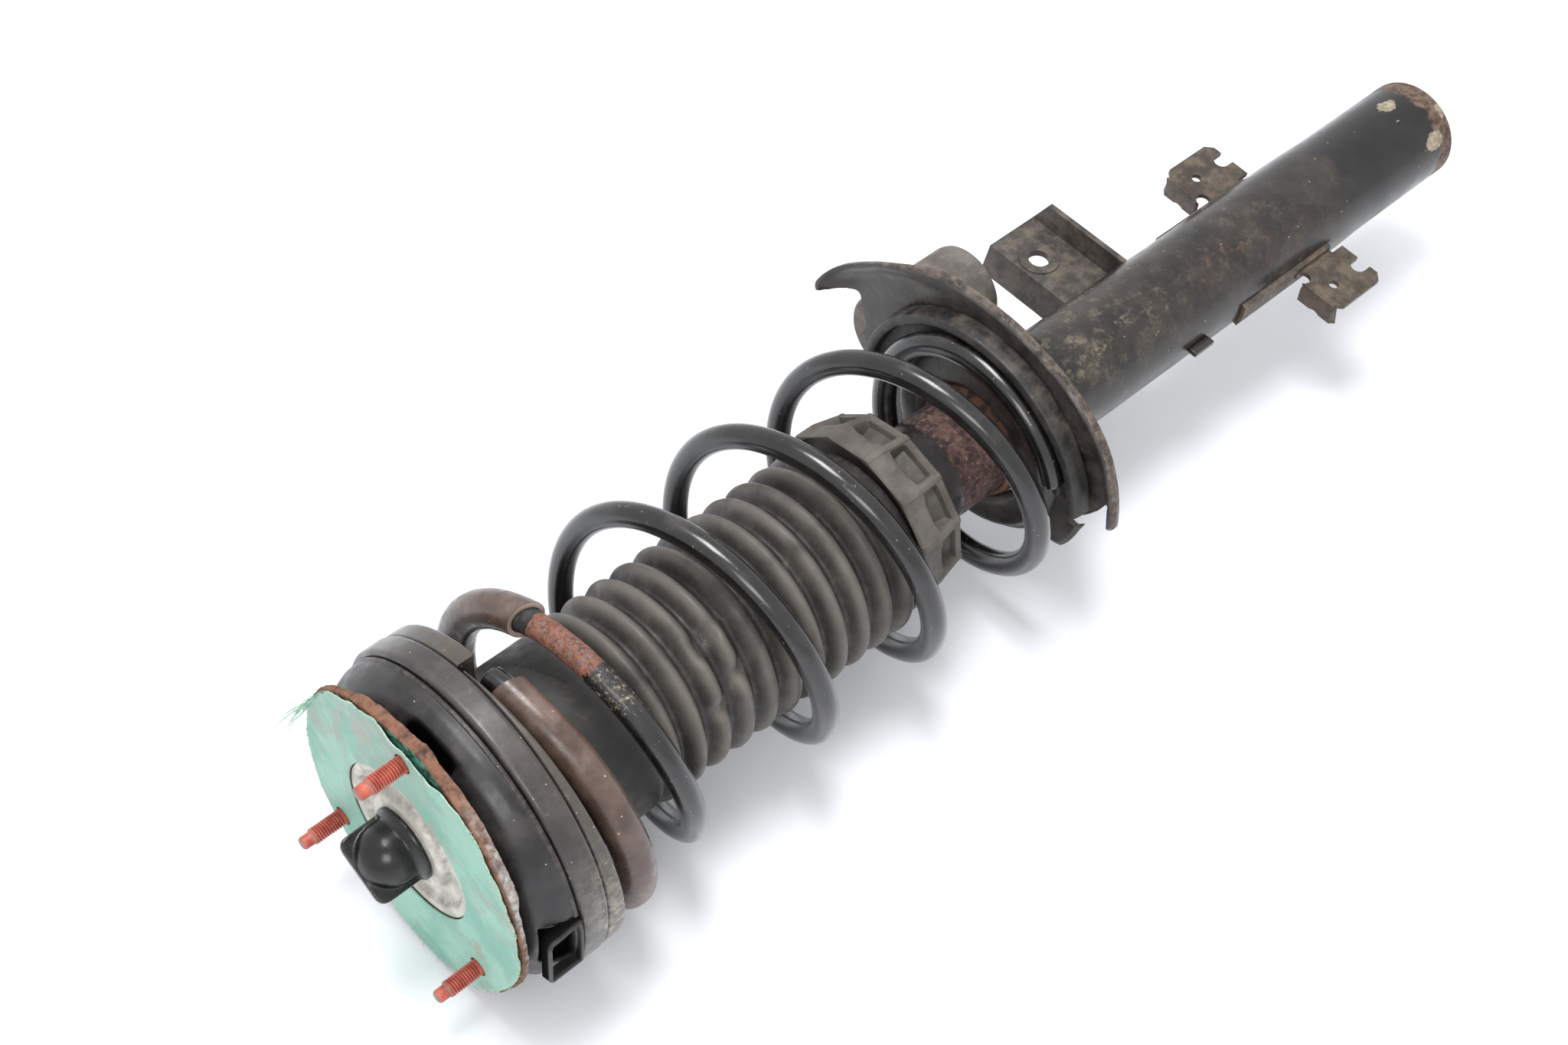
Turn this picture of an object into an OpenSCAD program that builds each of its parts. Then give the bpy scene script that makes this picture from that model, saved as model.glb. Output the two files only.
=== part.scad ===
// Telescopic suspension strut with coil spring, dust boot and three-stud top mount.
// Millimetres. Origin: centre of the top mount's mounting face, on the damper axis.
// +X runs along the damper axis from the top mount to the tube's lower end, +Z is up as the strut lies.
// Inside lay() the local axes are: x and y across the strut, z along it (row +X).

/* [Strut] */
// Roll of the strut about its own axis as it lies, in degrees
roll = 8.5; // [-30:0.5:30]
// Distance from the mounting face to the lower end of the tube
strut_len = 679; // [640:1:720]

/* [Top mount] */
// Thickness of the gasket
gasket_t = 0.8; // [0.5:0.1:2]
// Thickness of the steel mounting plate
plate_t = 3; // [2:0.5:5]
// Mean radius of the mounting plate's outline
plate_r = 75; // [70:0.5:80]
// How much longer than wide the outline is, as a change of radius
plate_oval = 3.8; // [0:0.1:5]
// Depth of the plate's turned edge
plate_lip = 2.6; // [0:0.1:4]
// Radius of the round window in the plate and gasket
window_r = 38.5; // [30:0.5:45]
// Radius of the circle the studs stand on
stud_circle_r = 63; // [50:0.5:70]
// Angle from the single stud to each of the other two
stud_spread = 132.8; // [110:0.1:140]
// Radius of a stud's thread
stud_r = 4; // [3:0.5:6]
// Height of a stud above the gasket
stud_h = 22; // [15:1:35]
// Largest radius of the housing behind the plate
housing_r = 75.6; // [70:0.5:85]
// Distance from the mounting face to the housing's back wall
housing_back = 26.5; // [22:0.5:35]

// Distance of the housing's centre from the damper's axis
mount_ecc = 3.4; // [0:0.1:5]
// Direction of that offset about the strut
mount_dir = 208.5; // [0:0.5:360]

/* [Dust cap] */
// Outer radius of the cap's dome
cap_r = 14.2; // [12:0.1:20]
// Half width of the cap's flat grip
cap_grip = 16; // [14:0.1:20]
// Angle of the grip across the strut
cap_angle = 23.7; // [-90:0.1:90]

/* [Coil spring] */
// Radius of the spring wire
wire_r = 6; // [5:0.1:8]
// Radius of the wire's centre line
coil_r = 66.6; // [60:0.1:75]
// Angle at which the wire starts
coil_start = 66.5; // [0:0.5:360]
// Radius of the wire's centre line at its lower end
coil_end_r = 56; // [50:0.1:75]
// Turns of the spring
coil_turns = 5.25; // [4:0.01:7]
// Distance of the wire's start from the mounting face
coil_x0 = 48; // [40:0.5:60]
// Thickness of the rubber sleeve on the first turn
sleeve_t = 2.6; // [1:0.1:4]

/* [Dust boot] */
// Radius of the boot's crests
crest_r = 48; // [44:0.5:55]
// Radius of the boot's roots
root_r = 41.2; // [38:0.5:48]
// Distance from one crest to the next
boot_pitch = 13.8; // [10:0.1:18]
// Number of crests
boot_crests = 11; // [6:1:16]
// Distance of the first crest from the mounting face
boot_x0 = 105; // [90:1:120]
// Wall thickness of the boot
boot_t = 1.8; // [1:0.1:3]

/* [Damper] */
// Radius of the tube in the clamp zone
clamp_r = 27.5; // [24:0.1:32]
// Length of the clamp zone
clamp_len = 82; // [60:1:100]
// Radius of the main tube above the clamp zone
tube_r = 28.2; // [25:0.1:33]
// Radius of the tube above the spring seat
neck_r = 25.8; // [23:0.1:30]
// Inner radius of the tube
tube_bore = 23.6; // [20:0.1:28]
// Distance of the tube's upper end from the mounting face
tube_top = 257; // [240:1:270]
// Distance of the boot collar from the mounting face
collar_x = 255; // [245:1:265]
// Radius of the piston rod
rod_r = 11; // [9:0.5:13]

/* [Spring seat] */
// Distance of the seat's plate from the mounting face
seat_x = 339; // [320:0.5:350]
// Radius of the seat's dish
seat_r = 82; // [75:1:95]
// Reach of the wing beyond the dish
wing = 26; // [0:1:30]
// Thickness of the pressed plate
seat_t = 3; // [2:0.5:4]

/* [Mass damper] */
// Radius of the can
can_r = 22.5; // [18:0.5:28]
// Distance of the can's axis from the strut's axis
can_off = 71; // [60:1:80]
// Distance of the can's free end from the mounting face
can_end = 405; // [390:1:420]

/* [Brackets] */
// Distance of the link bracket's hole from the mounting face
link_x = 448.5; // [440:1:470]
// Distance of the link bracket's hole from the strut's axis
link_off = 62; // [55:0.5:70]
// Turn of the link bracket about the strut, in degrees
link_turn = -2.5; // [-20:0.5:20]
// Drop of the link bracket's plate below the axis
link_drop = 3; // [0:0.5:10]
// Radius of the link bracket's hole
link_hole_r = 5.5; // [4:0.5:7]
// Distance of the hose brackets' holes from the mounting face
hose_x = 553.5; // [545:0.5:570]
// Distance of the hose brackets' holes from the strut's axis
hose_off = 47; // [42:0.5:55]
// Thickness of the bracket sheet
bracket_t = 2.5; // [1.5:0.5:4]

/* [Hidden] */
$fn = 96;
plate_x = gasket_t;
plate_back = gasket_t + plate_t;
stud_angles = [90, 90 + stud_spread, 90 - stud_spread];
sleeve_r = wire_r + 0.15 + sleeve_t;
// stations of the wire: angle from its start, distance along the strut from its start
coil_table = [[0, 0], [140, 19.5], [322, 28.5], [400, 36], [443, 43], [493, 55], [543, 66], [632, 87],
    [682, 98], [732, 107.5],
    [853, 131.5], [992, 157], [1042, 165], [1092, 174], [1163, 189], [1213, 199], [1263, 208],
        [1352, 223], [1402, 231.5],
    [1452, 243], [1523, 261], [1573, 269.5], [1640, 274], [1740, 276], [1800, 281], [1890, 281.5]];
// shift of the turns across the strut, towards the side opposite the mount's offset
coil_shift = [[0, -4], [300, -3.8], [490, 0.9], [700, 1], [1400, 2.2], [1890, 1]];
// centre line's radius: the lower end is drawn in
coil_radii = [[0, coil_r], [1490, coil_r], [1600, coil_end_r + 5], [1640, coil_end_r - 1],
    [1700, coil_end_r - 10.5],
    [1740, coil_end_r - 9], [1785, coil_end_r], [1890, coil_end_r + 1]];
coil_a5 = coil_turns * 360;
coil_a0 = 15;
sleeve_a0 = 30;
sleeve_a1 = 360;
black = [0.08, 0.08, 0.09];
rust = [0.45, 0.27, 0.18];
steel = [0.62, 0.62, 0.62];

// ---------- helpers ----------
// places children that run along local z on the strut's axis
module lay() rotate([roll, 0, 0]) rotate([90, 0, 90]) children();
// turned solid from [radius, distance along the strut] pairs
module turned(p) rotate_extrude() polygon(p);
// places children on the mount's own centre
module shifted() translate([mount_ecc * cos(mount_dir), mount_ecc * sin(mount_dir), 0]) children();
module ring(r1, r2, x1, x2) translate([0, 0, x1]) difference() {
    cylinder(r = r2, h = x2 - x1);
    translate([0, 0, -1]) cylinder(r = r1, h = x2 - x1 + 2);
}
module rod_x(r, x1, x2) translate([0, 0, x1]) cylinder(r = r, h = x2 - x1);
module hexagon(af, x1, x2) translate([0, 0, x1]) cylinder(r = af / 2 / cos(30), h = x2 - x1, $fn = 6);
function bump(a, c, w) = exp(-pow((a - c) / w, 2));
// outline of the mounting plate
function plate_outline(grow) = [for (a = [-180:5:175])
    let (r = plate_r + grow + plate_oval * cos(2 * (a - 82)) + 2.8 * bump(a, 115, 20) + 1.5 * bump(a, 50,
        15)
        - 3 * bump(a, -150, 20) + 1.7 * bump(a, -28, 14))
    [r * cos(a), r * sin(a)]];
function smooth(a, t) = (lookup(a - 30, t) + lookup(a - 15, t) + lookup(a, t) + lookup(a + 15, t)
    + lookup(a + 30, t)) / 5;
// distance of the wire's centre line from the mounting face, and its radius, at an angle from its start
function coil_at(a) = coil_x0 + smooth(a, coil_table);
function coil_rad(a) = smooth(a, coil_radii);
function coil_off(a) = -smooth(a, coil_shift);
// tube bent along the wire: rings of m points with radius r, wall closed at both ends
module coil_tube(a0, a1, r, step, m) {
    n = ceil((a1 - a0) / step);
    pts = [for (i = [0:n]) let (a = a0 + (a1 - a0) * i / n, x = coil_at(a), c = coil_rad(a), t =
        coil_start + a, e = coil_off(a))
        for (j = [0:m - 1]) let (q = j * 360 / m, rr = c + r * cos(q))
            [rr * cos(t) + e * cos(mount_dir), rr * sin(t) + e * sin(mount_dir), x + r * sin(q)]];
    side = [for (i = [0:n - 1]) for (j = [0:m - 1]) let (k = (j + 1) % m)
        each [[i * m + j, (i + 1) * m + j, (i + 1) * m + k], [i * m + j, (i + 1) * m + k, i * m + k]]];
    polyhedron(points = pts, faces = concat([[for (j = [0:m - 1]) j]], side, [[for (j = [m - 1:-1:0])
        n * m + j]]), convexity = 10);
}
// hollow tube bent along the wire
module coil_sleeve(a0, a1, r1, r2, step, m) {
    n = ceil((a1 - a0) / step);
    pts = [for (i = [0:n]) let (a = a0 + (a1 - a0) * i / n, x = coil_at(a), t = coil_start + a, e =
        coil_off(a))
        for (w = [r2, r1]) for (j = [0:m - 1]) let (q = j * 360 / m, rr = coil_r + w * cos(q))
            [rr * cos(t) + e * cos(mount_dir), rr * sin(t) + e * sin(mount_dir), x + w * sin(q)]];
    s = 2 * m;
    outer = [for (i = [0:n - 1]) for (j = [0:m - 1]) let (k = (j + 1) % m)
        each [[i * s + j, (i + 1) * s + j, (i + 1) * s + k], [i * s + j, (i + 1) * s + k, i * s + k]]];
    inner = [for (i = [0:n - 1]) for (j = [0:m - 1]) let (k = (j + 1) % m)
        each [[i * s + m + j, (i + 1) * s + m + k, (i + 1) * s + m + j], [i * s + m + j, i * s + m + k,
            (i + 1) * s + m + k]]];
    caps = [for (j = [0:m - 1]) let (k = (j + 1) % m)
        each [[j, k, m + k], [j, m + k, m + j], [n * s + k, n * s + j, n * s + m + j], [n * s + k, n * s
            + m + j, n * s + m + k]]];
    polyhedron(points = pts, faces = concat(outer, inner, caps), convexity = 10);
}

// ---------- top mount ----------
module mount_gasket() color([0.55, 0.8, 0.72]) lay() difference() {
    shifted() linear_extrude(gasket_t) polygon(plate_outline(-1.2));
    translate([0, 0, -1]) cylinder(r = window_r, h = 4);
    for (a = stud_angles) rotate(a) translate([stud_circle_r, 0, -1]) cylinder(r = stud_r + 0.6, h = 4);
}
module mount_plate() color(rust) lay() difference() {
    union() {
        shifted() translate([0, 0, plate_x]) linear_extrude(plate_t) polygon(plate_outline(0));
        // edge turned back on the side away from the ground
        intersection() {
            shifted() translate([0, 0, plate_back - 0.5]) linear_extrude(plate_lip + 0.5) difference() {
                polygon(plate_outline(0));
                polygon(plate_outline(-2.5));
            }
            slice(62, 150);
        }
    }
    translate([0, 0, -1]) cylinder(r = window_r + 0.6, h = 8);
    for (a = stud_angles) rotate(a) translate([stud_circle_r, 0, -1]) cylinder(r = stud_r + 0.23, h = 8);
}
// three threaded studs with pilot tips and flat heads behind the plate
module mount_studs() color([0.8, 0.27, 0.2]) lay() for (a = stud_angles) rotate(a)
    translate([stud_circle_r, 0, 0]) {
    rod_x(stud_r, -stud_h + 6, 0);
    rod_x(stud_r + 0.2, 0, plate_back + 0.5);
    rod_x(stud_r + 2, plate_back, plate_back + 2.2);
    translate([0, 0, -stud_h + 5]) cylinder(r1 = stud_r - 0.9, r2 = stud_r, h = 1);
    translate([0, 0, -stud_h + 0.8]) cylinder(r = stud_r - 0.9, h = 4.2);
    translate([0, 0, -stud_h]) cylinder(r1 = stud_r - 1.7, r2 = stud_r - 0.9, h = 0.8);
}
// pressed cup seen in the window: land, annular groove and rim
module mount_cup() color([0.68, 0.68, 0.66]) lay() turned([
    [6.1, -0.5], [22, -0.5], [24.5, 4.4], [31.5, 4.4], [34.5, 0.6], [38.3, 0.6], [38.3, 3.9], [52, 3.9],
        [52, 5.4],
    [36.8, 5.4], [36.8, 2.1], [35.3, 2.1], [32.3, 5.9], [23.6, 5.9], [21.1, 1], [6.1, 1]]);
module mount_bush() color(steel) lay() ring(6.1, 10.5, 1, 27);
module mount_rubber() color(black) lay() turned([
    [10.5, 6.5], [22, 7.5], [33, 7.5], [37, 5.4], [50, 5.4], [55, 9], [62, 14], [66.5, 19], [66.5, 23.5],
        [50, 23.5], [30, 20], [10.5, 22]]);
// outer shell of the mount, with the spigot that carries the boot and the open pocket at its side
module upper_housing() color(black) lay() shifted() {
    turned([[62, 6.6], [65, 7.2], [69, 10], [73, 14.5], [housing_r, 21], [housing_r, housing_back],
        [44, housing_back],
        [44, housing_back + 13], [41.6, housing_back + 13], [41.6, 24], [72.4, 24], [73.4, 21.5],
            [71, 16], [67.6, 12], [64, 9.6], [61.4, 8.8]]);
    difference() {
        rotate(177) translate([housing_r - 6, -18, 9]) cube([8.5, 36, 17.5]);
        rotate(177) translate([housing_r - 3.8, -13, 11]) cube([10, 28.5, 13.8]);
        rod_x(housing_r - 2, 0, 40);
    }
}
// helical rubber seat of the spring's upper end: its rear face follows the wire,
// with a step where the wire starts
module upper_spring_isolator() color([0.2, 0.19, 0.18]) lay() shifted() {
    n = 48;
    r1 = 50;
    r2 = 78.4;
    x1 = housing_back + 0.3;
    pts = [for (i = [0:n]) let (a = 2 + 356 * i / n, t = coil_start + 11 + a, x = min(coil_at(a + 11)
        - sleeve_r - 0.5, 39.5 + 8 * min(a / 106, 1)))
        each [[r1 * cos(t), r1 * sin(t), x1], [r2 * cos(t), r2 * sin(t), x1],
              [r2 * cos(t), r2 * sin(t), x + 1.5], [62 * cos(t), 62 * sin(t), x], [r1 * cos(t),
                  r1 * sin(t), x]]];
    m = 5;
    side = [for (i = [0:n - 1]) for (j = [0:m - 1]) let (k = (j + 1) % m)
        each [[i * m + j, (i + 1) * m + j, (i + 1) * m + k], [i * m + j, (i + 1) * m + k, i * m + k]]];
    polyhedron(points = pts, faces = concat([[for (j = [m - 1:-1:0]) j]],
        [for (f = side) [f[0], f[2], f[1]]], [[for (j = [0:m - 1]) n * m + j]]), convexity = 6);
}
module rod_nut() color(steel) lay() difference() {
    hexagon(18, -9.5, -0.5);
    rod_x(6.02, -12, 2);
}
// rubber cap over the nut: dome, round foot and flat grip
module dust_cap() color(black) lay() difference() {
    union() {
        turned(concat([[0, -9.5 - cap_r]], [for (a = [80:-10:0]) [cap_r * cos(a), -9.5 - cap_r * sin(a)]],
            [[cap_r, -4.6], [15.5, -4.2], [17.8, -2.2], [17.8, -0.5], [0, -0.5]]));
        rotate(cap_angle) translate([-cap_grip, -1.8, -20.5]) cube([2 * cap_grip, 3.6, 19]);
        rotate(cap_angle) translate([4 - cap_grip, -1.8, -24.5]) cube([2 * cap_grip - 8, 3.6, 10]);
        rotate(cap_angle) for (s = [-1, 1]) translate([s * (cap_grip - 4), 1.8, -20.5])
            rotate([90, 0, 0]) cylinder(r = 4, h = 3.6, $fn = 48);
    }
    rod_x(12, -10, 1);
    translate([0, 0, -10]) cylinder(r1 = 9.5, r2 = 12, h = 1, $fn = 96);
    translate([0, 0, -17]) cylinder(r1 = 7, r2 = 12, h = 7);
}
module bump_cup() color(steel) lay() turned([[11.2, 27.2], [30, 27.2], [30, 34], [28.5, 34],
    [28.5, 28.8], [11.2, 28.8]]);
// foam bump stop with waists
module bump_stop() color([0.75, 0.7, 0.45]) lay() turned(concat([[rod_r + 0.3, 29]],
    [for (i = [0:3]) each [[25 - i, 29 + i * 21], [25 - i, 42 + i * 21], [19 - i, 48 + i * 21]]],
        [[16, 113], [14, 116], [rod_r + 0.3, 116]]));
module piston_rod() color([0.75, 0.75, 0.77]) lay() {
    rod_x(6, -12, 27.5);
    rod_x(rod_r, 27, 298);
    rod_x(5.5, 297, 321);
}
module rebound_stop() color([0.7, 0.68, 0.6]) lay() ring(rod_r + 0.02, 14.5, 284.5, 297);
module piston() color(steel) lay() difference() {
    ring(5.52, 15.7, 298, 313);
    ring(14.4, 17, 303, 308);
    for (a = [0:60:300]) rotate(a) translate([9.5, 0, 290]) cylinder(r = 1.6, h = 30);
}
module piston_ring() color([0.3, 0.25, 0.2]) lay() ring(14.45, 15.96, 303.1, 307.9);
module piston_nut() color(steel) lay() difference() {
    hexagon(15, 313, 320);
    rod_x(5.52, 310, 325);
}

// ---------- flexible pieces ----------
module coil_spring() color([0.1, 0.1, 0.11]) lay() coil_tube(coil_a0, coil_a5, wire_r, 15, 12);
module wire_sleeve() color([0.42, 0.34, 0.31]) lay() coil_sleeve(sleeve_a0, sleeve_a1, wire_r + 0.15,
    sleeve_r, 15, 12);
// bellows with a plain sleeve above the first crest
module dust_boot() color([0.24, 0.23, 0.22]) lay() shifted() {
    last = boot_x0 + (boot_crests - 1) * boot_pitch;
    outer = concat([[46.1, 28], [46.1, 98]],
        [for (i = [0:boot_crests - 1]) let (x = boot_x0 + i * boot_pitch)
            each [[root_r, x - boot_pitch / 2], [crest_r - 1.2, x - 2.2], [crest_r, x], [crest_r - 1.2, x
                + 2.2]]],
        [[root_r, last + boot_pitch / 2], [root_r, last + boot_pitch / 2 + 6]]);
    inner = [for (p = outer) [p[0] - boot_t, p[1]]];
    turned(concat(outer, [for (i = [len(inner) - 1:-1:0]) inner[i]]));
}

// ---------- damper ----------
module damper_tube() color([0.11, 0.11, 0.12]) lay() turned([
    [tube_bore, tube_top], [neck_r - 1, tube_top], [neck_r, tube_top + 1.5], [neck_r, seat_x + 4],
        [tube_r, seat_x + 8],
    [tube_r, strut_len - clamp_len - 1.5], [clamp_r, strut_len - clamp_len], [clamp_r, strut_len - 1],
        [clamp_r - 1, strut_len],
    [tube_bore + 1, strut_len], [tube_bore, strut_len - 1]]);
module pressure_tube() color(steel) lay() ring(16, 17.3, 284, 640);
module rod_guide() color([0.55, 0.56, 0.58]) lay() difference() {
    turned([[rod_r + 0.05, 263], [tube_bore - 0.02, 263], [tube_bore - 0.02, 274], [17.2, 276],
        [17.2, 283.9], [15.9, 284], [rod_r + 0.05, 284]]);
    for (a = [0:90:270]) rotate(a) translate([20, 0, 260]) cylinder(r = 1.5, h = 20);
}
module rod_seal() color(black) lay() ring(rod_r + 0.02, tube_bore - 0.05, 258.5, 263);
module base_valve() color(steel) lay() difference() {
    rod_x(tube_bore - 0.1, 640, 652);
    for (a = [0:45:315]) rotate(a) translate([12, 0, 630]) cylinder(r = 2, h = 30);
    for (a = [0:45:315]) rotate(a + 22) translate([20.5, 0, 630]) cylinder(r = 1.6, h = 30);
}
module tube_end_cap() color(rust) lay() turned([[0, 668], [tube_bore - 0.02, 668], [tube_bore - 0.02,
    674.5], [21, 674.5], [18, 672], [0, 672]]);
// ribbed collar that holds the boot's lower end on the tube
module boot_collar() color([0.46, 0.45, 0.42]) lay() translate([0, 0, collar_x]) difference() {
    union() {
        cylinder(r = 48.4, h = 14, $fn = 12);
        translate([0, 0, 14]) cylinder(r1 = 42.5, r2 = 37, h = 14);
        intersection() {
            for (a = [0:30:330]) rotate(a) translate([26.5, -1.5, 13]) cube([24, 3, 15]);
            turned([[20, 12], [48, 12], [47.6, 14], [42.5, 28], [20, 28]]);
        }
    }
    rod_x(45.4, -1, 6);
    rod_x(neck_r + 0.05, 5, 30);
    for (a = [15:30:345]) rotate(a) translate([41, -7, 16]) rotate([0, 22, 0]) cube([9, 14, 20]);
}

// ---------- spring seat ----------
// radius of the pressed plate by angle: horn at one side, cut away at the bottom
seat_table = [[-200, seat_r + 3], [-184, seat_r + 2], [-181, 67], [-160, 66], [-153, 64], [-149, 52],
    [-62, 52], [-46, 60], [-40, 66], [-27, 64],
    [-8, 67], [-1, 76], [8, seat_r + wing], [16, seat_r + wing], [30, seat_r + 17], [53, seat_r + 7],
        [80, seat_r], [105, seat_r - 1],
    [140, seat_r + 4], [160, seat_r + 3], [176, seat_r + 2], [179, 67], [200, 66]];
function seat_outline(grow) = [for (a = [-180:4:176]) let (r = grow + (lookup(a - 3, seat_table)
    + lookup(a, seat_table) + lookup(a + 3, seat_table)) / 3)
    [r * cos(a), r * sin(a)]];
// slice of the strut between two angles less than 180 degrees apart
module slice(a0, a1) linear_extrude(500) polygon([[0, 0], [300 * cos(a0), 300 * sin(a0)],
    [420 * cos((a0 + a1) / 2), 420 * sin((a0 + a1) / 2)], [300 * cos(a1), 300 * sin(a1)]]);
module seat_blank(grow) difference() {
    polygon(seat_outline(grow));
    // hollow under the horn
    polygon([[seat_r + wing + 3, 14], [seat_r + 5, 25], [seat_r - 4, 6], [seat_r + 8, -30], [seat_r + 50,
        0]]);
    // gap between the plate and the free end of its rim
    polygon([for (p = [[seat_r - 1, 163], [seat_r - 1, 182], [61, 182], [67, 177], [seat_r - 8, 170]])
        p[0] * [cos(p[1]), sin(p[1])]]);
}
module spring_seat() color([0.2, 0.17, 0.15]) lay() {
    difference() {
        translate([0, 0, seat_x]) linear_extrude(seat_t) seat_blank(0);
        rod_x(49.5, 300, 350);
    }
    // raised centre
    turned([[50, seat_x], [46.5, seat_x - 6], [34, seat_x - 7.5], [neck_r + 4.2, seat_x - 4],
        [neck_r + 4.2, seat_x - 0.5], [34, seat_x - 4.4],
        [45, seat_x - 3], [48.5, seat_x + seat_t], [50, seat_x + seat_t]]);
    // lip along the rim, turned towards the spring and highest at the horn
    intersection() {
        difference() {
            translate([0, 0, seat_x - 5]) linear_extrude(6) seat_blank(0);
            translate([0, 0, seat_x - 20]) linear_extrude(40) polygon(seat_outline(-seat_t));
        }
        slice(2, 60);
    }
    // panel at the open side
    rotate(196) translate([30, -1.5, seat_x]) cube([33, 3, 20]);
}
module seat_hub() color(rust) lay() turned([[neck_r + 0.05, seat_x - 9], [neck_r + 2, seat_x - 9],
    [neck_r + 4.1, seat_x - 4],
    [neck_r + 4.1, seat_x + 3.8], [neck_r + 0.05, seat_x + 3.8]]);
// rubber pad under the last turn, with an outer wall and open at the bottom
module lower_spring_isolator() color([0.13, 0.13, 0.13]) lay() intersection() {
    union() {
        ring(50.5, 70, seat_x - 2.7, seat_x - 0.1);
        ring(64.5, 70, seat_x - 10, seat_x - 1);
    }
    union() {
        slice(-6, 80);
        slice(70, 170);
    }
}
module seat_gussets() color([0.18, 0.16, 0.15]) lay() for (g = [[80, 72], [168, 72], [-24, 58]])
    rotate(g[0])
    rotate([90, 0, 0]) translate([0, 0, -1.5]) linear_extrude(3)
        polygon([[tube_r + 0.2, seat_x + 9], [tube_r + 0.2, seat_x + 40], [tube_r + 8, seat_x + 40],
            [g[1], seat_x + 6],
            [g[1], seat_x + seat_t + 0.1], [34, seat_x + seat_t + 0.1], [34, seat_x + 8]]);

// ---------- mass damper ----------
module mass_damper() color([0.32, 0.3, 0.28]) lay() translate([can_off, 0, 0]) difference() {
    turned([[0, seat_x + 6], [can_r - 1.5, seat_x + 6], [can_r, seat_x + 7.5], [can_r, can_end - 4],
        [can_r - 1.2, can_end - 1.2], [can_r - 4, can_end], [0, can_end]]);
    rod_x(4.05, 330, 362);
}
module mass_damper_bolt() color(steel) lay() translate([can_off, 0, 0]) {
    rod_x(4, seat_x + seat_t + 0.1, 360);
    hexagon(13, seat_x + seat_t + 0.1, seat_x + 5.8);
}

// ---------- brackets on the tube ----------
// Z section with a long hole plate, a leg down and a leg up
module link_bracket() color([0.24, 0.22, 0.2]) lay() difference() {
    rotate(link_turn) translate([0, -link_drop, link_x]) difference() {
        union() {
            translate([20, 0, 0]) rotate([90, 0, 90]) linear_extrude(65)
                polygon([[1.5, -12], [1.5, 20], [15.5, 20], [15.5, 23], [-1.5, 23], [-1.5, -9.2],
                    [-14, -13], [-14, -16.2]]);
            translate([link_off, 0, 0]) rotate([-90, 0, 0]) cylinder(r = 10.5, h = 2.3);
        }
        translate([link_off, -20, 0]) rotate([-90, 0, 0]) cylinder(r = link_hole_r, h = 40);
        translate([85, 1.5, 0]) rotate([0, 0, 30]) translate([0, -1, 5]) cube([20, 40, 40]);
        translate([86, -30, 2]) rotate([0, 40, 0]) cube([20, 60, 60]);
    }
    rod_x(tube_r + 0.05, 400, 520);
}
// flat sheet with two prongs, a folded leg with a notch, and a strap along the tube
module hose_bracket() difference() {
    union() {
        translate([24, -1.25, hose_x - 11]) cube([hose_off - 24 + 13, bracket_t, 36]);
        translate([36, -13, hose_x - 10.3]) rotate([-8, 0, 0]) cube([hose_off - 36 + 13, 14, bracket_t]);
        intersection() {
            ring(clamp_r, tube_r + 2.3, hose_x - 52, hose_x + 20);
            rotate(-20) translate([20, 0, 0]) cube([20, 14, 700]);
        }
    }
    rod_x(tube_r + 0.05, hose_x - 60, hose_x + 60);
    // hole
    translate([hose_off, -20, hose_x]) rotate([-90, 0, 0]) cylinder(r = 2.6, h = 40);
    // slot between the prongs
    translate([hose_off, -5, hose_x + 20.5]) rotate([-90, 0, 0]) cylinder(r = 4, h = 10);
    translate([hose_off - 4, -5, hose_x + 20.5]) cube([8, 10, 20]);
    // shoulder beside the tube
    translate([20, -5, hose_x + 17]) cube([12.5, 10, 20]);
    // notch in the leg
    translate([hose_off, -16, hose_x - 20]) cylinder(r = 4.2, h = 20);
    translate([hose_off - 4.2, -30, hose_x - 20]) cube([8.4, 14, 20]);
    // gap beside the tube
    translate([34.5, -3, hose_x - 9]) rotate([-90, 0, 0]) cylinder(r = 3.6, h = 10);
    // rounded outer corners
    for (s = [hose_x - 11, hose_x + 25]) translate([hose_off + 13, -10, s]) rotate([0, 45, 0])
        cube([5.6, 30, 5.6], center = true);
}
module hose_bracket_upper() color([0.36, 0.32, 0.27]) lay() hose_bracket();
module hose_bracket_lower() color([0.36, 0.32, 0.27]) lay() mirror([1, 0, 0]) hose_bracket();
module tube_tab() color(black) lay() difference() {
    translate([-tube_r - 5, -2, 461]) cube([8, 3, 14]);
    rod_x(tube_r + 0.05, 450, 500);
}

mount_gasket();
mount_plate();
mount_studs();
mount_cup();
mount_bush();
mount_rubber();
upper_housing();
upper_spring_isolator();
rod_nut();
dust_cap();
bump_cup();
bump_stop();
piston_rod();
rebound_stop();
piston();
piston_ring();
piston_nut();
coil_spring();
wire_sleeve();
dust_boot();
damper_tube();
pressure_tube();
rod_guide();
rod_seal();
base_valve();
tube_end_cap();
boot_collar();
spring_seat();
seat_hub();
lower_spring_isolator();
seat_gussets();
mass_damper();
mass_damper_bolt();
link_bracket();
hose_bracket_upper();
hose_bracket_lower();
tube_tab();
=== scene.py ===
import bpy, bmesh, math
import numpy as np
from mathutils import Vector, Matrix


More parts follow.
